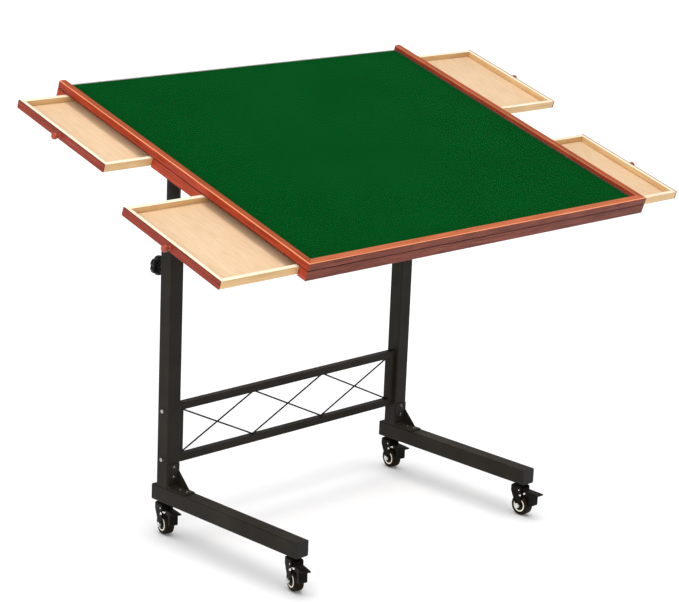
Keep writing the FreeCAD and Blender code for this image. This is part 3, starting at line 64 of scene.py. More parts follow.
class Finish:
    """A material whose pattern lies on Object coordinates."""

    def __init__(self, name, **sockets):
        self.material = bpy.data.materials.new(name)
        self.material.use_nodes = True
        self.tree = self.material.node_tree
        self.surface = self.tree.nodes["Principled BSDF"]
        for socket, value in sockets.items():
            title = socket.replace("_", " ").title().replace("Ior", "IOR")
            self.surface.inputs[title].default_value = value
        self.coordinates = self.add("ShaderNodeTexCoord").outputs["Object"]

    def add(self, kind, **settings):
        node = self.tree.nodes.new(kind)
        for setting, value in settings.items():
            setattr(node, setting, value)
        return node

    def join(self, source, target):
        self.tree.links.new(source, target)

    def turned(self, angle):
        """Coordinates turned about X, so that a pattern can follow the sloping board."""
        turn = self.add("ShaderNodeMapping")
        turn.inputs["Rotation"].default_value = (angle, 0, 0)
        self.join(self.coordinates, turn.inputs["Vector"])
        self.coordinates = turn.outputs["Vector"]

    def noise(self, size, stretch=(1, 1, 1), detail=4.0, roughness=0.55, distortion=0.0):
        """Cloudy noise with blotches about size metres across, drawn out by stretch."""
        mapping = self.add("ShaderNodeMapping")
        mapping.inputs["Scale"].default_value = [1 / (size * s) for s in stretch]
        self.join(self.coordinates, mapping.inputs["Vector"])
        noise = self.add("ShaderNodeTexNoise")
        noise.inputs["Scale"].default_value = 1
        noise.inputs["Detail"].default_value = detail
        noise.inputs["Roughness"].default_value = roughness
        noise.inputs["Distortion"].default_value = distortion
        self.join(mapping.outputs["Vector"], noise.inputs["Vector"])
        return noise.outputs["Fac"]

    def ramp(self, factor, *stops):
        """Colours, or grey values, at given places along a factor."""
        ramp = self.add("ShaderNodeValToRGB")
        elements = ramp.color_ramp.elements
        while len(elements) < len(stops):
            elements.new(0.5)
        for element, (place, colour) in zip(elements, stops):
            shade = colour if isinstance(colour, tuple) else (colour,) * 3
            element.position = place
            element.color = (*shade, 1)
        self.join(factor, ramp.inputs["Fac"])
        return ramp.outputs["Color"]

    def blend(self, one, other, factor):
        """One colour mixed with another, by a plain share or by a factor that varies."""
        mix = self.add("ShaderNodeMix", data_type="RGBA", blend_type="MIX")
        if isinstance(factor, float):
            mix.inputs["Factor"].default_value = factor
        else:
            self.join(factor, mix.inputs["Factor"])
        for source, place in ((one, MIX_ONE), (other, MIX_OTHER)):
            if isinstance(source, tuple):
                mix.inputs[place].default_value = (*source, 1)
            else:
                self.join(source, mix.inputs[place])
        return mix.outputs[MIX_RESULT]

    def colour(self, source):
        self.join(source, self.surface.inputs["Base Color"])

    def roughness(self, source):
        self.join(source, self.surface.inputs["Roughness"])

    def bump(self, *layers):
        """Relief from (height, depth in metres, strength), laid one on another."""
        below = None
        for height, depth, strength in layers:
            bump = self.add("ShaderNodeBump")
            bump.inputs["Distance"].default_value = depth
            bump.inputs["Strength"].default_value = strength
            self.join(height, bump.inputs["Height"])
            if below:
                self.join(below, bump.inputs["Normal"])
            below = bump.outputs["Normal"]
        self.join(below, self.surface.inputs["Normal"])


def powder_coat(name, dark, light, shine=0.42):
    """Black powder coat: fine orange peel, faint clouding and dust."""
    coat = Finish(name, specular_ior_level=0.1)
    cloud = coat.noise(60 * MM, detail=3)
    coat.colour(coat.ramp(cloud, (0.3, dark), (0.75, light)))
    peel = coat.noise(1.1 * MM, detail=2)
    coat.roughness(coat.ramp(coat.noise(18 * MM), (0.2, shine - 0.06), (0.8, shine + 0.1)))
    coat.bump((peel, 0.05 * MM, 0.35))
    return coat.material


def moulded(name, dark, light, shine=0.5):
    """Moulded plastic with a fine eroded grain."""
    plastic = Finish(name, specular_ior_level=0.2)
    cloud = plastic.noise(9 * MM, detail=4)
    plastic.colour(plastic.ramp(cloud, (0.3, dark), (0.8, light)))
    plastic.roughness(plastic.ramp(cloud, (0.2, shine - 0.07), (0.8, shine + 0.08)))
    plastic.bump((plastic.noise(0.5 * MM, detail=2), 0.05 * MM, 0.4))
    return plastic.material


def enamel(name, dark, light, shine=0.12, coat=0.05):
    """Gloss enamel over pressed steel or hard plastic, with a slight waviness."""
    gloss = Finish(name, specular_ior_level=0.5 * coat, coat_weight=coat, coat_roughness=0.05)
    cloud = gloss.noise(12 * MM, detail=3)
    gloss.colour(gloss.ramp(cloud, (0.3, dark), (0.8, light)))
    gloss.roughness(gloss.ramp(gloss.noise(4 * MM), (0.25, shine), (0.8, shine + 0.14)))
    gloss.bump((gloss.noise(3 * MM, detail=1), 0.06 * MM, 0.25))
    return gloss.material


def zinc(name):
    """Bright zinc plate with fine wiping marks."""
    plate = Finish(name, metallic=1.0)
    cloud = plate.noise(3 * MM, detail=5)
    plate.colour(plate.ramp(cloud, (0.25, (0.55, 0.55, 0.53)), (0.75, (0.83, 0.83, 0.81))))
    plate.roughness(plate.ramp(cloud, (0.2, 0.18), (0.8, 0.38)))
    plate.bump((plate.noise(0.6 * MM, (1, 1, 6)), 0.03 * MM, 0.3))
    return plate.material


def stained_wood(name, dark, middle, light, grain, shine=0.3, coat=0.05):
    """Red-brown stain under satin varnish, with its grain across the board or up its slope."""
    wood = Finish(name, specular_ior_level=0.1, coat_weight=coat, coat_roughness=0.14)
    wood.turned(-TILT)
    along = {"across": (28, 1, 1), "slope": (1, 28, 1)}[grain]
    streaks = wood.noise(1.6 * MM, along, detail=5, roughness=0.6)
    figure = wood.noise(9 * MM, tuple(max(1, s / 3) for s in along), detail=3, distortion=0.6)
    pores = wood.noise(0.45 * MM, along, detail=1)
    tone = wood.blend(wood.ramp(streaks, (0.3, dark), (0.52, middle), (0.74, light)),
                      wood.ramp(figure, (0.3, dark), (0.55, middle), (0.8, light)), 0.45)
    tone = wood.blend(tone, dark, wood.ramp(pores, (0.62, 0.0), (0.74, 0.55)))
    wood.colour(tone)
    wood.roughness(wood.ramp(streaks, (0.2, shine), (0.8, shine + 0.16)))
    wood.bump((pores, 0.08 * MM, 0.2), (streaks, 0.15 * MM, 0.15))
    return wood.material


def pale_wood(name, dark, middle, light, grain):
    """Sanded pale wood under thin clear varnish."""
    wood = Finish(name, specular_ior_level=0.3, coat_weight=0.06, coat_roughness=0.3)
    wood.turned(-TILT)
    along = {"across": (30, 1, 1), "slope": (1, 30, 1), "ply": (1, 9, 1)}[grain]
    rings = wood.noise(3.2 * MM, along, detail=3, roughness=0.5, distortion=0.4)
    fibre = wood.noise(0.7 * MM, along, detail=4)
    cloud = wood.noise(45 * MM, detail=2)
    tone = wood.blend(wood.ramp(rings, (0.3, dark), (0.5, middle), (0.72, light)),
                      wood.ramp(cloud, (0.3, middle), (0.75, light)), 0.45)
    tone = wood.blend(tone, dark, wood.ramp(fibre, (0.62, 0.0), (0.8, 0.45)))
    wood.colour(tone)
    wood.roughness(wood.ramp(fibre, (0.25, 0.42), (0.8, 0.60)))
    wood.bump((fibre, 0.1 * MM, 0.25))
    return wood.material


def pressed_board(name, dark, light):
    """Hardboard: matted fibres, one side slightly glazed."""
    sheet = Finish(name)
    fibres = sheet.noise(1.4 * MM, detail=6, roughness=0.7, distortion=1.2)
    cloud = sheet.noise(70 * MM, detail=3)
    sheet.colour(sheet.blend(sheet.ramp(fibres, (0.3, dark), (0.7, light)),
                             sheet.ramp(cloud, (0.3, dark), (0.7, light)), 0.4))
    sheet.roughness(sheet.ramp(fibres, (0.2, 0.55), (0.8, 0.8)))
    sheet.bump((fibres, 0.12 * MM, 0.35))
    return sheet.material


def felt(name, dark, middle, light):
    """Short dense felt: matted fibres, a little lint and a soft sheen."""
    cloth = Finish(name, specular_ior_level=0.0, sheen_weight=0.03, sheen_roughness=0.5,
                   sheen_tint=(0.02, 0.5, 0.12, 1))
    cloth.turned(-TILT)
    fibres = cloth.noise(0.55 * MM, detail=3, roughness=0.7, distortion=1.5)
    tufts = cloth.noise(3 * MM, (1, 2, 1), detail=4, distortion=0.8)
    cloud = cloth.noise(120 * MM, detail=3)
    tone = cloth.blend(cloth.ramp(fibres, (0.25, dark), (0.5, middle), (0.8, light)),
                       cloth.ramp(tufts, (0.3, dark), (0.55, middle), (0.8, light)), 0.4)
    cloth.colour(cloth.blend(tone, cloth.ramp(cloud, (0.3, dark), (0.7, middle)), 0.35))
    cloth.roughness(cloth.ramp(tufts, (0.2, 0.86), (0.8, 0.98)))
    cloth.bump((fibres, 0.25 * MM, 0.5), (tufts, 0.3 * MM, 0.25))
    return cloth.material


def acrylic(name, tint, alpha):
    """Clear non-glare sheet, all but unseen, with a faint haze, or its cut edge."""
    sheet = Finish(name, base_color=(*tint, 1), alpha=alpha, ior=1.49, specular_ior_level=0.2)
    haze = sheet.noise(35 * MM, detail=5)
    sheet.roughness(sheet.ramp(haze, (0.35, 0.05), (0.8, 0.16)))
    return sheet.material


def floor_paint(name):
    """Plain pale studio floor."""
    paint = Finish(name, specular_ior_level=0.1)
    cloud = paint.noise(0.8, detail=2)
    paint.colour(paint.ramp(cloud, (0.3, (0.915, 0.93, 0.948)), (0.7, (0.93, 0.947, 0.965))))
    paint.roughness(paint.ramp(cloud, (0.3, 0.9), (0.7, 0.95)))
    return paint.material


BLACK_STEEL = powder_coat("black_steel_coat", (0.0125, 0.0105, 0.0075), (0.0205, 0.0170, 0.0125))
BLACK_WIRE = powder_coat("black_wire_coat", (0.004, 0.004, 0.004), (0.008, 0.0075, 0.007),
                         shine=0.38)
BLACK_OXIDE = enamel("black_oxide", (0.008, 0.0075, 0.007), (0.020, 0.018, 0.016), shine=0.16,
                     coat=0.5)
BLACK_PLASTIC = moulded("black_cap_plastic", (0.008, 0.007, 0.006), (0.015, 0.014, 0.012))
KNOB_PLASTIC = moulded("black_knob_plastic", (0.005, 0.005, 0.005), (0.011, 0.010, 0.010),
                       shine=0.34)
# Light grey steel on the leg bolts' crowns: a painted glint
GLINT_STEEL = enamel("bolt_crown_glint", (0.30, 0.285, 0.26), (0.46, 0.44, 0.40), shine=0.25)
ZINC = zinc("bright_zinc")
FORK_ENAMEL = enamel("caster_enamel", (0.004, 0.0035, 0.0025), (0.011, 0.009, 0.006))
TYRE = enamel("caster_tyre", (0.007, 0.0045, 0.0025), (0.018, 0.011, 0.006), shine=0.26)
HUB = moulded("caster_hub_plastic", (0.014, 0.011, 0.009), (0.028, 0.022, 0.018), shine=0.36)
PEDAL_PLASTIC = enamel("caster_pedal_gloss", (0.004, 0.0035, 0.0025), (0.011, 0.009, 0.0065),
                       shine=0.22)
RING_CREAM = enamel("caster_ring_cream", (0.90, 0.82, 0.66), (0.97, 0.92, 0.80), shine=0.2,
                    coat=0.3)

# Stained wood: the rails' sides, their flat top painted lighter as painted light from above,
# the paler inner edge, the outer arris with a painted highlight over a little wear and the
# moulded line with painted shade in its groove, each with its grain up the slope or across the
# board; the drawers' fronts, with a painted shade line on the left drawers' upper edges, and
# pulls
STAIN_SLOPE = stained_wood("mahogany_stain_slope", (0.15, 0.016, 0.007), (0.385, 0.047, 0.018),
                           (0.60, 0.098, 0.042), "slope")
# The front and rear rails' sides are painted darker than the side rails' outer faces: painted
# shade on faces turned from the light
STAIN_ACROSS = stained_wood("mahogany_stain_across", (0.060, 0.014, 0.009), (0.19, 0.048, 0.030),
                            (0.36, 0.100, 0.064), "across")
# The rails' flat tops are painted lighter than their sides: painted light from above
LIT_TOP_SLOPE = stained_wood("mahogany_lit_top_slope", (0.25, 0.040, 0.010), (0.40, 0.074, 0.020),
                         (0.57, 0.130, 0.042), "slope")
LIT_TOP_ACROSS = stained_wood("mahogany_lit_top_across", (0.40, 0.088, 0.028), (0.56, 0.140, 0.050),
                          (0.72, 0.225, 0.095), "across")
# A paler stain on the rails' inner edges and on the upper edges of the right drawers' faces
PALER_EDGE = ((0.34, 0.105, 0.045), (0.48, 0.175, 0.078), (0.60, 0.25, 0.12))
PALER_EDGE_SLOPE = stained_wood("mahogany_paler_edge_slope", *PALER_EDGE, "slope")
PALER_EDGE_ACROSS = stained_wood("mahogany_paler_edge_across", *PALER_EDGE, "across")
# The rounded outer arris, painted much lighter: a painted highlight along the edge, over a little
# wear
ARRIS_HIGHLIGHT = ((0.76, 0.22, 0.090), (0.92, 0.32, 0.150), (0.99, 0.44, 0.24))
ARRIS_HIGHLIGHT_SLOPE = stained_wood("mahogany_arris_highlight_slope", *ARRIS_HIGHLIGHT, "slope", coat=0.3)
ARRIS_HIGHLIGHT_ACROSS = stained_wood("mahogany_arris_highlight_across", *ARRIS_HIGHLIGHT, "across", coat=0.3)
# The moulded line's sloping faces, painted dark: painted shade in the groove
GROOVE_SHADE_SLOPE = stained_wood("mahogany_groove_shade_slope", (0.09, 0.013, 0.007), (0.14, 0.022, 0.011),
                            (0.20, 0.034, 0.017), "slope")
GROOVE_SHADE_ACROSS = stained_wood("mahogany_groove_shade_across", (0.05, 0.012, 0.008), (0.08, 0.020, 0.013),
                             (0.12, 0.030, 0.020), "across")
FACE_STAIN = stained_wood("drawer_face_stain", (0.14, 0.020, 0.012), (0.29, 0.042, 0.025),
                          (0.45, 0.076, 0.047), "slope")
# The upper edge of the left drawers' faces, painted dark: a painted shade line along the seam
FACE_EDGE_SHADE = stained_wood("drawer_face_edge_shade", (0.05, 0.010, 0.005), (0.08, 0.016, 0.008),
                         (0.13, 0.028, 0.014), "slope")
PULL_STAIN = stained_wood("drawer_pull_stain", (0.24, 0.030, 0.012), (0.38, 0.055, 0.024),
                          (0.52, 0.095, 0.045), "across", shine=0.14, coat=0.5)

# Pale wood: the trays' walls, their upper edges painted lighter as painted light from above,
# and their floors; the battens
PALE = ((0.47, 0.27, 0.105), (0.66, 0.41, 0.18), (0.80, 0.56, 0.29))
PALE_ACROSS = pale_wood("tray_wood_across", *PALE, "across")
PALE_SLOPE = pale_wood("tray_wood_slope", *PALE, "slope")
LIT_CREAM = ((0.82, 0.65, 0.44), (0.95, 0.82, 0.60), (0.99, 0.91, 0.74))
LIT_CREAM_ACROSS = pale_wood("tray_lit_edge_across", *LIT_CREAM, "across")
LIT_CREAM_SLOPE = pale_wood("tray_lit_edge_slope", *LIT_CREAM, "slope")
TRAY_FLOOR = pale_wood("tray_floor_ply", (0.68, 0.45, 0.25), (0.79, 0.55, 0.33),
                       (0.85, 0.62, 0.40), "ply")
BATTEN_WOOD = pale_wood("batten_wood", (0.42, 0.25, 0.11), (0.58, 0.38, 0.18),
                        (0.68, 0.48, 0.26), "across")

# Hidden boards, felt and cover
HARDBOARD = pressed_board("hardboard", (0.16, 0.085, 0.04), (0.30, 0.18, 0.09))
FELT = felt("green_felt", (0.0004, 0.048, 0.0060), (0.0006, 0.073, 0.0095),
            (0.0012, 0.105, 0.0155))
ACRYLIC = acrylic("clear_acrylic_sheet", (0.002, 0.03, 0.008), 0.03)
ACRYLIC_EDGE = acrylic("cut_acrylic_edge", (0.10, 0.14, 0.12), 0.5)


# Making pieces

SHARP = 35  # degrees: an edge that turns by more is sharp
EASE_STEPS = 2  # facets across an eased edge
JOINING = 0.005 * MM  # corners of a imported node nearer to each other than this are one
CLOSING = 0.001 * MM  # the same for a turned form
FLATNESS = 0.4  # degrees: faces that turn by less from each other are one
TOUCH = 0.1 * MM  # a face nearer to a plane than this lies in it

# Widths of the eased edges
SHEET_EDGE, TUBE_EDGE, FINE_EDGE = 0.4 * MM, 0.6 * MM, 0.2 * MM
MOULDED_EDGE, COLLAR_EDGE, BOLT_EDGE = 0.5 * MM, 0.25 * MM, 0.3 * MM


def finished(name, form, body, slot, *finishes, replaces=()):
    """Turn a finished form into a piece that rides on a body."""
    mesh = bpy.data.meshes.new(name)
    form.to_mesh(mesh)
    form.free()
    for finish in finishes:
        mesh.materials.append(finish)
    piece = bpy.data.objects.new(name, mesh)
    bpy.context.scene.collection.objects.link(piece)
    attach(piece, body)
    if replaces:
        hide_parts(*replaces)
    return piece


def smooth_by_angle(form, angle=SHARP):
    """Shade a form smooth, but for the edges that turn by the angle or more."""
    limit = math.radians(angle)
    for face in form.faces:
        face.smooth = True
    for edge in form.edges:
        edge.smooth = edge.calc_face_angle(0) < limit


def sharp_edges(form):
    """Edges of a form that need easing."""
    return [edge for edge in form.edges if edge.calc_face_angle(0) > math.radians(SHARP)]


def ease_edges(form, width):
    """Bevel every sharp edge of a form."""
    bmesh.ops.bevel(form, geom=sharp_edges(form), offset=width, offset_type="OFFSET",
                    segments=EASE_STEPS, profile=0.5, affect="EDGES", clamp_overlap=True,
                    material=-1)


def merged_copy(node):
    """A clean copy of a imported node, its loose triangles joined into flat faces."""
    form = bmesh.new()
    form.from_mesh(nodes[node].data)
    bmesh.ops.remove_doubles(form, verts=form.verts, dist=JOINING)
    bmesh.ops.dissolve_limit(form, angle_limit=math.radians(FLATNESS), verts=form.verts,
                             edges=form.edges)
    for face in form.faces:
        face.material_index = 0
    return form


def weigh_straight_edges(form, width):
    """Give weight to the sharp edges that meet no finely stepped curve, so that easing them
    folds nothing over."""
    weight = form.edges.layers.float.new("bevel_weight_edge")
    sharp = sharp_edges(form)
    stepped = {vertex for edge in sharp if edge.calc_length() < 3 * width for vertex in edge.verts}
    for edge in sharp:
        if stepped.isdisjoint(edge.verts):
            edge[weight] = 1


def eased(node, name, body, slot, width, *finishes, choose=None, straight=False):
    """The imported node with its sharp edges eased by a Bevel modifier, or only the straight
    ones. Where there is more than one finish, choose gives a face its own."""
    form = merged_copy(node)
    if choose:
        for face in form.faces:
            face.material_index = choose(face)
    smooth_by_angle(form)
    if straight:
        weigh_straight_edges(form, width)
    piece = finished(name, form, body, slot, *finishes, replaces=[node])
    bevel = piece.modifiers.new("eased_edges", "BEVEL")
    bevel.width = width
    bevel.segments = EASE_STEPS
    bevel.limit_method = "WEIGHT" if straight else "ANGLE"
    bevel.angle_limit = math.radians(SHARP)
    bevel.use_clamp_overlap = False
    piece.modifiers.new("even_faces", "WEIGHTED_NORMAL").keep_sharp = True


def turned_form(profile, steps, ring=False):
    """A closed form turned about Z from a profile of (radius, height). A ring's profile closes
    on itself, any other begins and ends on the axis."""
    form = bmesh.new()
    points = [form.verts.new((radius, 0, height)) for radius, height in profile]
    ends = points[1:] + points[:1] if ring else points[1:]
    edges = [form.edges.new(pair) for pair in zip(points, ends)]
    bmesh.ops.spin(form, geom=[*points, *edges], cent=(0, 0, 0), axis=(0, 0, 1),
                   angle=math.tau, steps=steps, use_merge=True)
    bmesh.ops.remove_doubles(form, verts=form.verts, dist=CLOSING)
    bmesh.ops.recalc_face_normals(form, faces=form.faces)
    return form


def placed(form, matrix):
    """The form, moved to its place."""
    bmesh.ops.transform(form, matrix=matrix, verts=form.verts)
    return form


def block(low, high):
    """A solid block between two corners."""
    low, high = Vector(low), Vector(high)
    form = bmesh.new()
    bmesh.ops.create_cube(form, size=1)
    size = Matrix.Diagonal((*(high - low), 1))
    return placed(form, Matrix.Translation((low + high) / 2) @ size)


def limits(node):
    """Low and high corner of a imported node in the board's own directions."""
    corners = [into_board @ vertex.co for vertex in nodes[node].data.vertices]
    low = Vector(min(corner[axis] for corner in corners) for axis in range(3))
    high = Vector(max(corner[axis] for corner in corners) for axis in range(3))
    return low, high


def paint(node, finish):
    """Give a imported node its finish."""
    nodes[node].data.materials.clear()
    nodes[node].data.materials.append(finish)


def turned_about(axis, place):
    """Placing of a form turned about Z, so that it is turned about axis at place."""
    turn = Vector((0, 0, 1)).rotation_difference(Vector(axis))
    return Matrix.Translation(place) @ turn.to_matrix().to_4x4()


def arc(radius, centre, start, stop, steps):
    """Points of an arc about centre, for a profile, from start to stop degrees."""
    across, up = centre
    angles = [math.radians(start + (stop - start) * step / steps) for step in range(steps + 1)]
    return [(across + radius * math.cos(angle), up + radius * math.sin(angle)) for angle in angles]


def joined(*forms):
    """Several forms as one."""
    whole = bmesh.new()
    for form in forms:
        part = bpy.data.meshes.new("part")
        form.to_mesh(part)
        form.free()
        whole.from_mesh(part)
        bpy.data.meshes.remove(part)
    return whole


def into_slope(direction):
    """A direction of the table as seen from the board: X across, Y up its slope, Z off it."""
    return into_board.to_3x3() @ direction


# The stand

WIRE_COAT = 0.25 * MM


def stud_bright(joint):
    """Choose bright zinc for a knob's stud and black plastic for the rest."""
    place, axis = Vector(joints[joint]["pos_m"]), Vector(joints[joint]["axis"])

    def choose(face):
        return 1 if (face.calc_center_median() - place).dot(axis) < -TOUCH else 0

    return choose


bolts_across = [vertex.co.x for vertex in nodes["stand_bolts"].data.vertices]
bolts_left, bolts_right = min(bolts_across), max(bolts_across)


def glinting_crown(face):
    """Choose grey steel for the flat crowns of the leg bolts' heads, as a painted glint, and black
    oxide for the rest.
    """
    across = face.calc_center_median().x
    return 1 if min(across - bolts_left, bolts_right - across) < TOUCH else 0


for side_name, _ in SIDES:
    for part in ("foot", "leg", "inner_tube"):
        paint(f"{part}_{side_name}", BLACK_STEEL)
    for part, body, width in (
        (f"gusset_{side_name}", "stand", SHEET_EDGE),
        (f"mast_head_{side_name}", "mast", FINE_EDGE),
        (f"bearer_{side_name}", "top", SHEET_EDGE),
    ):
        eased(part, f"{part}_steel", body, "black_steel", width, BLACK_STEEL, straight=True)
    for part, clamp in (("height", "height_clamp"), ("lock", "tilt_clamp")):
        knob = f"{part}_knob_{side_name}"
        eased(knob, f"{part}_star_{side_name}", f"{clamp}_{side_name}", "knob_plastic", FINE_EDGE,
              KNOB_PLASTIC, ZINC, choose=stud_bright(f"{knob}_turn"), straight=True)

eased("panel_frame", "panel_frame_steel", "stand", "black_steel", TUBE_EDGE, BLACK_STEEL,
      straight=True)
eased("foot_caps", "foot_caps_plastic", "stand", "black_plastic", MOULDED_EDGE, BLACK_PLASTIC)
eased("leg_collars", "leg_collars_plastic", "stand", "black_plastic", COLLAR_EDGE, BLACK_PLASTIC)
eased("stand_bolts", "stand_bolts_black", "stand", "black_fasteners", BOLT_EDGE, BLACK_OXIDE,
      GLINT_STEEL, choose=glinting_crown)
paint("lattice_wires", BLACK_WIRE)
coat = nodes["lattice_wires"].modifiers.new("thick_coat", "DISPLACE")
coat.mid_level, coat.strength = 0, WIRE_COAT
paint("pivot_bolts", ZINC)
paint("bearer_screws", ZINC)


# The casters

# The wheel: radii, roundings and heights from its middle along the axle
TREAD, SHOULDER, WHEEL_FACE, DISH = 20 * MM, 3 * MM, 9 * MM, 2 * MM
RING_OUTER, RING_INNER, RING_RISE, RING_ROUND = 13 * MM, 10.75 * MM, 0.3 * MM, 0.5 * MM
HUB_RADIUS, HUB_ROUND, AXLE_HOLE = 5.5 * MM, 0.6 * MM, 3.08 * MM
RING_FROM, RING_TO = RING_INNER - 0.05 * MM, RING_OUTER - 0.01 * MM  # middles of its facets
WHEEL_STEPS = 56

# The rivets: radius and base, and places out from the caster's middle, ahead of its axle and
# above it
RIVET, RIVET_BASE, RIVET_STEPS = 2.6 * MM, 0.1 * MM, 20
CHEEK_RIVET = 12 * MM, 4.2 * MM, 22.0 * MM
PEDAL_RIVET = 8.5 * MM, 11.6 * MM, 26.3 * MM

RACE_TOP = 62.1 * MM  # height of the swivel race's upper side over the floor


def wheel_half():
    """Profile of the wheel from the bore to the tread, on the side where the axle is positive."""
    ring_centre = WHEEL_FACE + RING_RISE - RING_ROUND
    return [
        (AXLE_HOLE, WHEEL_FACE),
        *arc(HUB_ROUND, (HUB_RADIUS - HUB_ROUND, WHEEL_FACE - HUB_ROUND), 90, 0, 3),
        (HUB_RADIUS, WHEEL_FACE - DISH),
        (RING_INNER, WHEEL_FACE - DISH),
        *arc(RING_ROUND, (RING_INNER + RING_ROUND, ring_centre), 180, 90, 3),
        *arc(RING_ROUND, (RING_OUTER - RING_ROUND, ring_centre), 90, 0, 3),
        (RING_OUTER, WHEEL_FACE),
        *arc(SHOULDER, (TREAD - SHOULDER, WHEEL_FACE - SHOULDER), 90, 0, 6),
    ]


def wheel(prefix):
    """Tyred wheel with a cream ring on both sides."""
    half = wheel_half()
    other_half = [(radius, -height) for radius, height in reversed(half)]
    form = turned_form(half + other_half, steps=WHEEL_STEPS, ring=True)
    for face in form.faces:
        middle = face.calc_center_median()
        radius = math.hypot(middle.x, middle.y)
        raised = abs(middle.z) > WHEEL_FACE - DISH / 2
        if raised and RING_FROM < radius < RING_TO:
            face.material_index = 1
        else:
            face.material_index = 2 if radius < RING_INNER else 0
    smooth_by_angle(form, angle=40)
    spin = joints[f"{prefix}_wheel_spin"]
    placed(form, turned_about(spin["axis"], spin["pos_m"]))
    finished(f"{prefix}_tyre", form, f"{prefix}_roller", "caster_wheel", TYRE, RING_CREAM, HUB,
             replaces=[f"{prefix}_wheel"])


def bright_washer(face):
    """Choose bright zinc above the swivel race and enamel below it."""
    return 1 if face.calc_center_median().z > RACE_TOP else 0


def rivets(prefix, name, body, out, ahead, rise):
    """A small domed rivet on both sides of a caster, out from its middle, ahead of its axle and
    above it."""
    spin = joints[f"{prefix}_wheel_spin"]
    axis = Vector(spin["axis"])
    forwards = axis.cross(Vector((0, 0, 1)))
    dome = [(0, 0), (RIVET, 0), *arc(RIVET, (0, RIVET_BASE), 20, 90, 5)]
    dome[-1] = (0, RIVET_BASE + RIVET)
    forms = []
    for side in (-1, 1):
        place = Vector(spin["pos_m"]) + side * out * axis + ahead * forwards + Vector((0, 0, rise))
        head = turned_form(dome, steps=RIVET_STEPS)
        forms.append(placed(head, turned_about(side * axis, place)))
    form = joined(*forms)
    smooth_by_angle(form, angle=60)
    finished(f"{prefix}_{name}", form, f"{prefix}_{body}", "caster_axle_zinc", ZINC)


def caster(prefix):
    """One caster: fork, wheel, rivets, axle and brake pedal."""
    eased(f"{prefix}_fork", f"{prefix}_yoke", f"{prefix}_swivel", "caster_black_steel", FINE_EDGE,
          FORK_ENAMEL, ZINC, choose=bright_washer, straight=True)
    wheel(prefix)
    rivets(prefix, "cheek_rivets", "swivel", *CHEEK_RIVET)
    rivets(prefix, "pedal_rivets", "brake", *PEDAL_RIVET)
    eased(f"{prefix}_axle", f"{prefix}_axle_bolt", f"{prefix}_swivel", "caster_axle_zinc",
          SHEET_EDGE, ZINC, straight=True)
    eased(f"{prefix}_pedal", f"{prefix}_lever", f"{prefix}_brake", "caster_pedal", MOULDED_EDGE,
          PEDAL_PLASTIC)


for end in ENDS:
    for side_name, _ in SIDES:
        caster(f"caster_{end}_{side_name}")


# The top

MOULDING_TOP = 55 * MM  # the moulded line lies below this height over the pivot

# Places of a rail's finishes: its sides, its flat top painted lighter as painted light, the paler
# inner edge, the rounded outer arris with a painted highlight and the moulded line with painted
# shade in its groove
RAIL_SIDE, RAIL_LIT_TOP, RAIL_INNER, RAIL_ARRIS_HIGHLIGHT, RAIL_LINE_SHADE = range(5)

# Least shares of a face's normal along a direction, which tell the faces of a rail apart
FLAT, HALFWAY, ROUNDED, MOULDED = 0.97, 0.5, 0.3, 0.2


def rail_finish(direction):
    """Choose a stain by where a face of a rail lies. The direction points out of the top."""
    outwards = Vector(direction)

    def choose(face):
        normal = into_slope(face.normal)
        out, up = normal.dot(outwards), normal.z
        # Below the moulding's top, the sloping faces of the moulded line take the painted shade
        if (into_board @ face.calc_center_median()).z < MOULDING_TOP:
            return RAIL_LINE_SHADE if out > MOULDED and abs(up) > MOULDED else RAIL_SIDE
        if up > FLAT:
            return RAIL_LIT_TOP
        if up > ROUNDED and out < -ROUNDED:
            return RAIL_INNER
        # Rounded faces between the top and the outside take the painted highlight
        return RAIL_ARRIS_HIGHLIGHT if up > HALFWAY and out > ROUNDED else RAIL_SIDE

    return choose


SLOPE_FINISHES = (STAIN_SLOPE, LIT_TOP_SLOPE, PALER_EDGE_SLOPE, ARRIS_HIGHLIGHT_SLOPE, GROOVE_SHADE_SLOPE)
ACROSS_FINISHES = (STAIN_ACROSS, LIT_TOP_ACROSS, PALER_EDGE_ACROSS, ARRIS_HIGHLIGHT_ACROSS, GROOVE_SHADE_ACROSS)
for node, direction, finishes in (
    ("left_rail", (-1, 0, 0), SLOPE_FINISHES),
    ("right_rail", (1, 0, 0), SLOPE_FINISHES),
    ("front_rail", (0, -1, 0), ACROSS_FINISHES),
    ("rear_rail", (0, 1, 0), ACROSS_FINISHES),
):
    eased(node, f"{node}_wood", "top", "mahogany_frame", SHEET_EDGE, *finishes,
          choose=rail_finish(direction), straight=True)

paint("bottom_panel", HARDBOARD)
paint("base_board", HARDBOARD)
paint("battens", BATTEN_WOOD)


# Shares of the felt's thickness: its edge, its surface, the ripple of that and the cloth itself
FELT_EDGE, FELT_SURFACE, FELT_RIPPLE, FELT_CLOTH = 0.35, 0.92, 0.035, 0.3
FELT_SQUARES = 60, 48


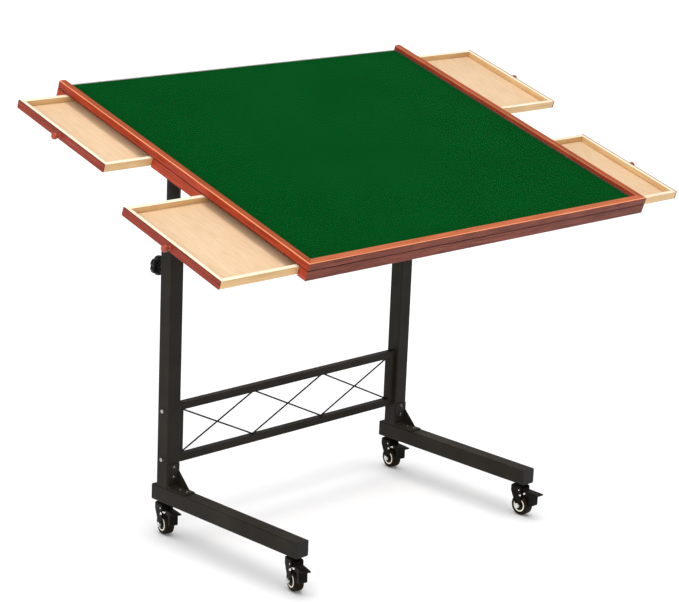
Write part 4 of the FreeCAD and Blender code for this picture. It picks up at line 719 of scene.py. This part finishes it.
def felt_sheet():
    """The felt as one cloth stretched over the base board, its surface very slightly uneven."""
    low, high = limits("felt")
    size, middle = high - low, (high + low) / 2
    form = bmesh.new()
    across, along = FELT_SQUARES
    bmesh.ops.create_grid(form, x_segments=across, y_segments=along, size=0.5)
    placed(form, Matrix.Diagonal((size.x, size.y, 1, 1)))
    for vertex in form.verts:
        x, y = vertex.co.x, vertex.co.y
        # Waves 0.27, 0.33 and 0.10 m long
        ripple = math.sin(x * 23 + 1) * math.sin(y * 19 + 2) + math.sin(x * 61)
        at_edge = min(size.x / 2 - abs(x), size.y / 2 - abs(y)) < 1 * MM
        vertex.co.z = size.z * (FELT_EDGE if at_edge else FELT_SURFACE + FELT_RIPPLE * ripple)
    bmesh.ops.solidify(form, geom=form.faces, thickness=size.z * FELT_CLOTH)
    bmesh.ops.recalc_face_normals(form, faces=form.faces)
    smooth_by_angle(form, angle=60)
    placed(form, board @ Matrix.Translation((middle.x, middle.y, low.z)))
    cloth = finished("felt_cloth", form, "top", "green_felt", FELT, replaces=["felt"])


felt_sheet()


def cut_edge(face):
    """Choose the cut edge for the sides of the cover and clear sheet for its faces."""
    return 0 if abs(into_slope(face.normal).z) > HALFWAY else 1


eased("clear_cover", "clear_cover_sheet", "cover", "clear_acrylic", SHEET_EDGE, ACRYLIC,
      ACRYLIC_EDGE, choose=cut_edge)


# The drawers

TRAY_WALL, TRAY_HEIGHT = 8 * MM, 14.5 * MM
TRAY_FLOOR_RISE, TRAY_FLOOR_THICKNESS = 1.3 * MM, 3 * MM
TRAY_FINISHES = (PALE_ACROSS, PALE_SLOPE, TRAY_FLOOR, LIT_CREAM_ACROSS, LIT_CREAM_SLOPE)
ACROSS, SLOPE, FLOOR = 0, 1, 2  # places of the boards' finishes among the tray's
UPPER = 3  # places from a wall's finish to that of its upper edge
WALL_TOP, FACE_TOP = 0.6, 0.9  # least shares of an upper edge's normal that point up
FACE_THICKNESS = 2.5 * MM

# The pull: its length from the drawer's face, and radii
PULL_LENGTH, PULL_BALL, PULL_NECK, PULL_WAIST = 17 * MM, 6 * MM, 3 * MM, 2.8 * MM
PULL_FOOT, PULL_RIM, PULL_HOLLOW, PULL_SCREW = 4.75 * MM, 0.8 * MM, 1.1 * MM, 1.75 * MM
PULL_STEPS = 40


def tray(prefix, side):
    """Five boards with eased edges, each with its grain along its length. The wall behind the
    drawer's face is as high as the box, the others a little lower."""
    low, high = limits(f"{prefix}_box")
    top = low.z + TRAY_HEIGHT
    wall = TRAY_WALL
    near, far = low.y + wall, high.y - wall
    left_top, right_top = (top, high.z) if side < 0 else (high.z, top)
    floor = low.z + TRAY_FLOOR_RISE
    boards = (
        ((low.x, low.y, low.z), (high.x, near, top), ACROSS),
        ((low.x, far, low.z), (high.x, high.y, top), ACROSS),
        ((low.x, near, low.z), (low.x + wall, far, left_top), SLOPE),
        ((high.x - wall, near, low.z), (high.x, far, right_top), SLOPE),
        ((low.x + wall, near, floor), (high.x - wall, far, floor + TRAY_FLOOR_THICKNESS), FLOOR),
    )
    forms = []
    for board_low, board_high, kind in boards:
        form = block(board_low, board_high)
        ease_edges(form, SHEET_EDGE)
        for face in form.faces:
            # Upward faces of the walls take the lighter cream: painted light from above
            upper = kind != FLOOR and face.normal.z > WALL_TOP
            face.material_index = kind + UPPER if upper else kind
        smooth_by_angle(form)
        forms.append(form)
    finished(f"{prefix}_tray", placed(joined(*forms), board), prefix, "pale_wood", *TRAY_FINISHES,
             replaces=[f"{prefix}_box"])


def upper_edge(face):
    """Choose the second finish for the upper edge of a drawer's face: a painted shade line on the
    left drawers, a paler stain on the right ones.
    """
    return 1 if into_slope(face.normal).z > FACE_TOP else 0


def pull(prefix, side):
    """Turned pull: a foot, a hollow neck and a ball."""
    low, high = limits(f"{prefix}_pull")
    base = low.x + PULL_LENGTH if side < 0 else high.x - PULL_LENGTH
    place = Vector((base, (low.y + high.y) / 2, (low.z + high.z) / 2))
    neck_start = 2 * PULL_RIM + PULL_HOLLOW
    neck_end = PULL_LENGTH - PULL_BALL - math.sqrt(PULL_BALL**2 - PULL_NECK**2)
    profile = [
        (0, -FACE_THICKNESS),
        (PULL_SCREW, -FACE_THICKNESS),
        (PULL_SCREW, 0),
        *arc(PULL_RIM, (PULL_FOOT - PULL_RIM, PULL_RIM), -90, 90, 8),
        *arc(PULL_HOLLOW, (PULL_WAIST + PULL_HOLLOW, neck_start), -90, -180, 5),
        (PULL_WAIST, (neck_start + neck_end) / 2),
        *arc(PULL_BALL, (0, PULL_LENGTH - PULL_BALL), -60, 90, 16),
    ]
    profile[-1] = (0, PULL_LENGTH)
    form = turned_form(profile, steps=PULL_STEPS)
    smooth_by_angle(form, angle=50)
    placed(form, board @ turned_about((side, 0, 0), place))
    finished(f"{prefix}_knob", form, prefix, "mahogany_pull", PULL_STAIN,
             replaces=[f"{prefix}_pull"])


for end in ENDS:
    for side_name, side in SIDES:
        prefix = f"drawer_{end}_{side_name}"
        tray(prefix, side)
        # The upper edge of the face is painted dark as a shade line on the left drawers and paler
        # on the right ones
        eased(f"{prefix}_face", f"{prefix}_front", prefix, "mahogany_drawer_face", SHEET_EDGE,
              FACE_STAIN, FACE_EDGE_SHADE if side < 0 else PALER_EDGE_SLOPE, choose=upper_edge,
              straight=True)
        pull(prefix, side)


# The studio

FLOOR_RADIUS = 40  # metres
BASE_TOP = 560 * MM  # pieces that end below this height belong to the stand's base
AIR_COLOUR, AIR_LIGHT = (1, 1, 1, 1), 0.45

# Lamps: name, direction that the light comes from, strength, spread in degrees, what is lit and
# what shades it
LAMPS = (
    ("overhead", (0.30, -0.10, 1.0), 1.5, 20, "table", "table"),
    ("left_window", (-1.0, -0.15, 0.45), 1.5, 40, "table", "table"),
    ("front_fill", (-0.25, -1.0, 0.35), 0.5, 60, "table", "table"),
    ("stand_glow", (0.10, -0.05, 1.0), 2.6, 20, "base", "base"),
    ("floor_wash", (0.0, 0.0, 1.0), 2.2, 60, "floor", "base"),
    ("floor_fill", (0.0, 0.0, 1.0), 0.3, 60, "floor", "floor"),
)

CAMERA_PLACE = -2.7750, -2.7098, 1.4680  # metres
CAMERA_HEADING, CAMERA_DIP, CAMERA_LEAN = 45.22, 14.97, 2.38  # degrees
CAMERA_FAR = 200  # metres
SENSOR_WIDTH = 36  # as a camera's data counts it, in millimetres
LENS_SHARE = 2163.4 / 679  # focal length over the sensor's width


def gathered(name, pieces):
    """Pieces that a light is meant for, or that it casts shadows of."""
    group = bpy.data.collections.new(name)
    for piece in pieces:
        group.objects.link(piece)
    return group


def lamp(name, towards, strength, spread, lit, shading):
    """Soft parallel light from a direction on the pieces lit, shadowed by those shading."""
    light = bpy.data.lights.new(name, "SUN")
    light.energy = strength
    light.angle = math.radians(spread)
    source = bpy.data.objects.new(name, light)
    source.rotation_mode = "QUATERNION"
    source.rotation_quaternion = (-Vector(towards)).to_track_quat("-Z", "Y")
    source.light_linking.receiver_collection = lit
    source.light_linking.blocker_collection = shading
    bpy.context.scene.collection.objects.link(source)


def studio():
    """Pale floor, soft lamps and white air."""
    form = bmesh.new()
    bmesh.ops.create_circle(form, cap_ends=True, segments=64, radius=FLOOR_RADIUS)
    mesh = bpy.data.meshes.new("studio_floor")
    form.to_mesh(mesh)
    form.free()
    mesh.materials.append(floor_paint("pale_floor"))
    floor = bpy.data.objects.new("studio_floor", mesh)
    pieces = [piece for piece in bpy.context.scene.objects if piece.type == "MESH"]
    standing = [piece for piece in pieces
                if max(vertex.co.z for vertex in piece.data.vertices) < BASE_TOP]
    bpy.context.scene.collection.objects.link(floor)
    groups = {
        "table": gathered("table", pieces),
        "base": gathered("base_of_table", standing),
        "floor": gathered("floor", [floor]),
    }
    for name, towards, strength, spread, lit, shading in LAMPS:
        lamp(name, towards, strength, spread, groups[lit], groups[shading])
    world = bpy.data.worlds.new("studio_air")
    world.use_nodes = True
    air = world.node_tree.nodes["Background"]
    air.inputs["Color"].default_value = AIR_COLOUR
    air.inputs["Strength"].default_value = AIR_LIGHT
    bpy.context.scene.world = world
    bpy.context.scene.view_settings.view_transform = "Standard"


def camera():
    """The camera stands at the front left, looking down a little, and leans slightly."""
    heading, dip, lean = map(math.radians, (CAMERA_HEADING, CAMERA_DIP, CAMERA_LEAN))
    level_reach = math.cos(dip)
    forward = Vector((math.sin(heading) * level_reach, math.cos(heading) * level_reach,
                      -math.sin(dip)))
    level = forward.cross(Vector((0, 0, 1))).normalized()
    upright = level.cross(forward)
    right = math.cos(lean) * level + math.sin(lean) * upright
    up = -math.sin(lean) * level + math.cos(lean) * upright
    lens = bpy.data.cameras.new("camera")
    lens.sensor_width = SENSOR_WIDTH
    lens.lens = SENSOR_WIDTH * LENS_SHARE
    lens.clip_end = CAMERA_FAR
    view = bpy.data.objects.new("camera", lens)
    turn = Matrix((right, up, -forward)).transposed().to_4x4()
    view.matrix_world = Matrix.Translation(CAMERA_PLACE) @ turn
    bpy.context.scene.collection.objects.link(view)
    bpy.context.scene.camera = view


studio()
camera()
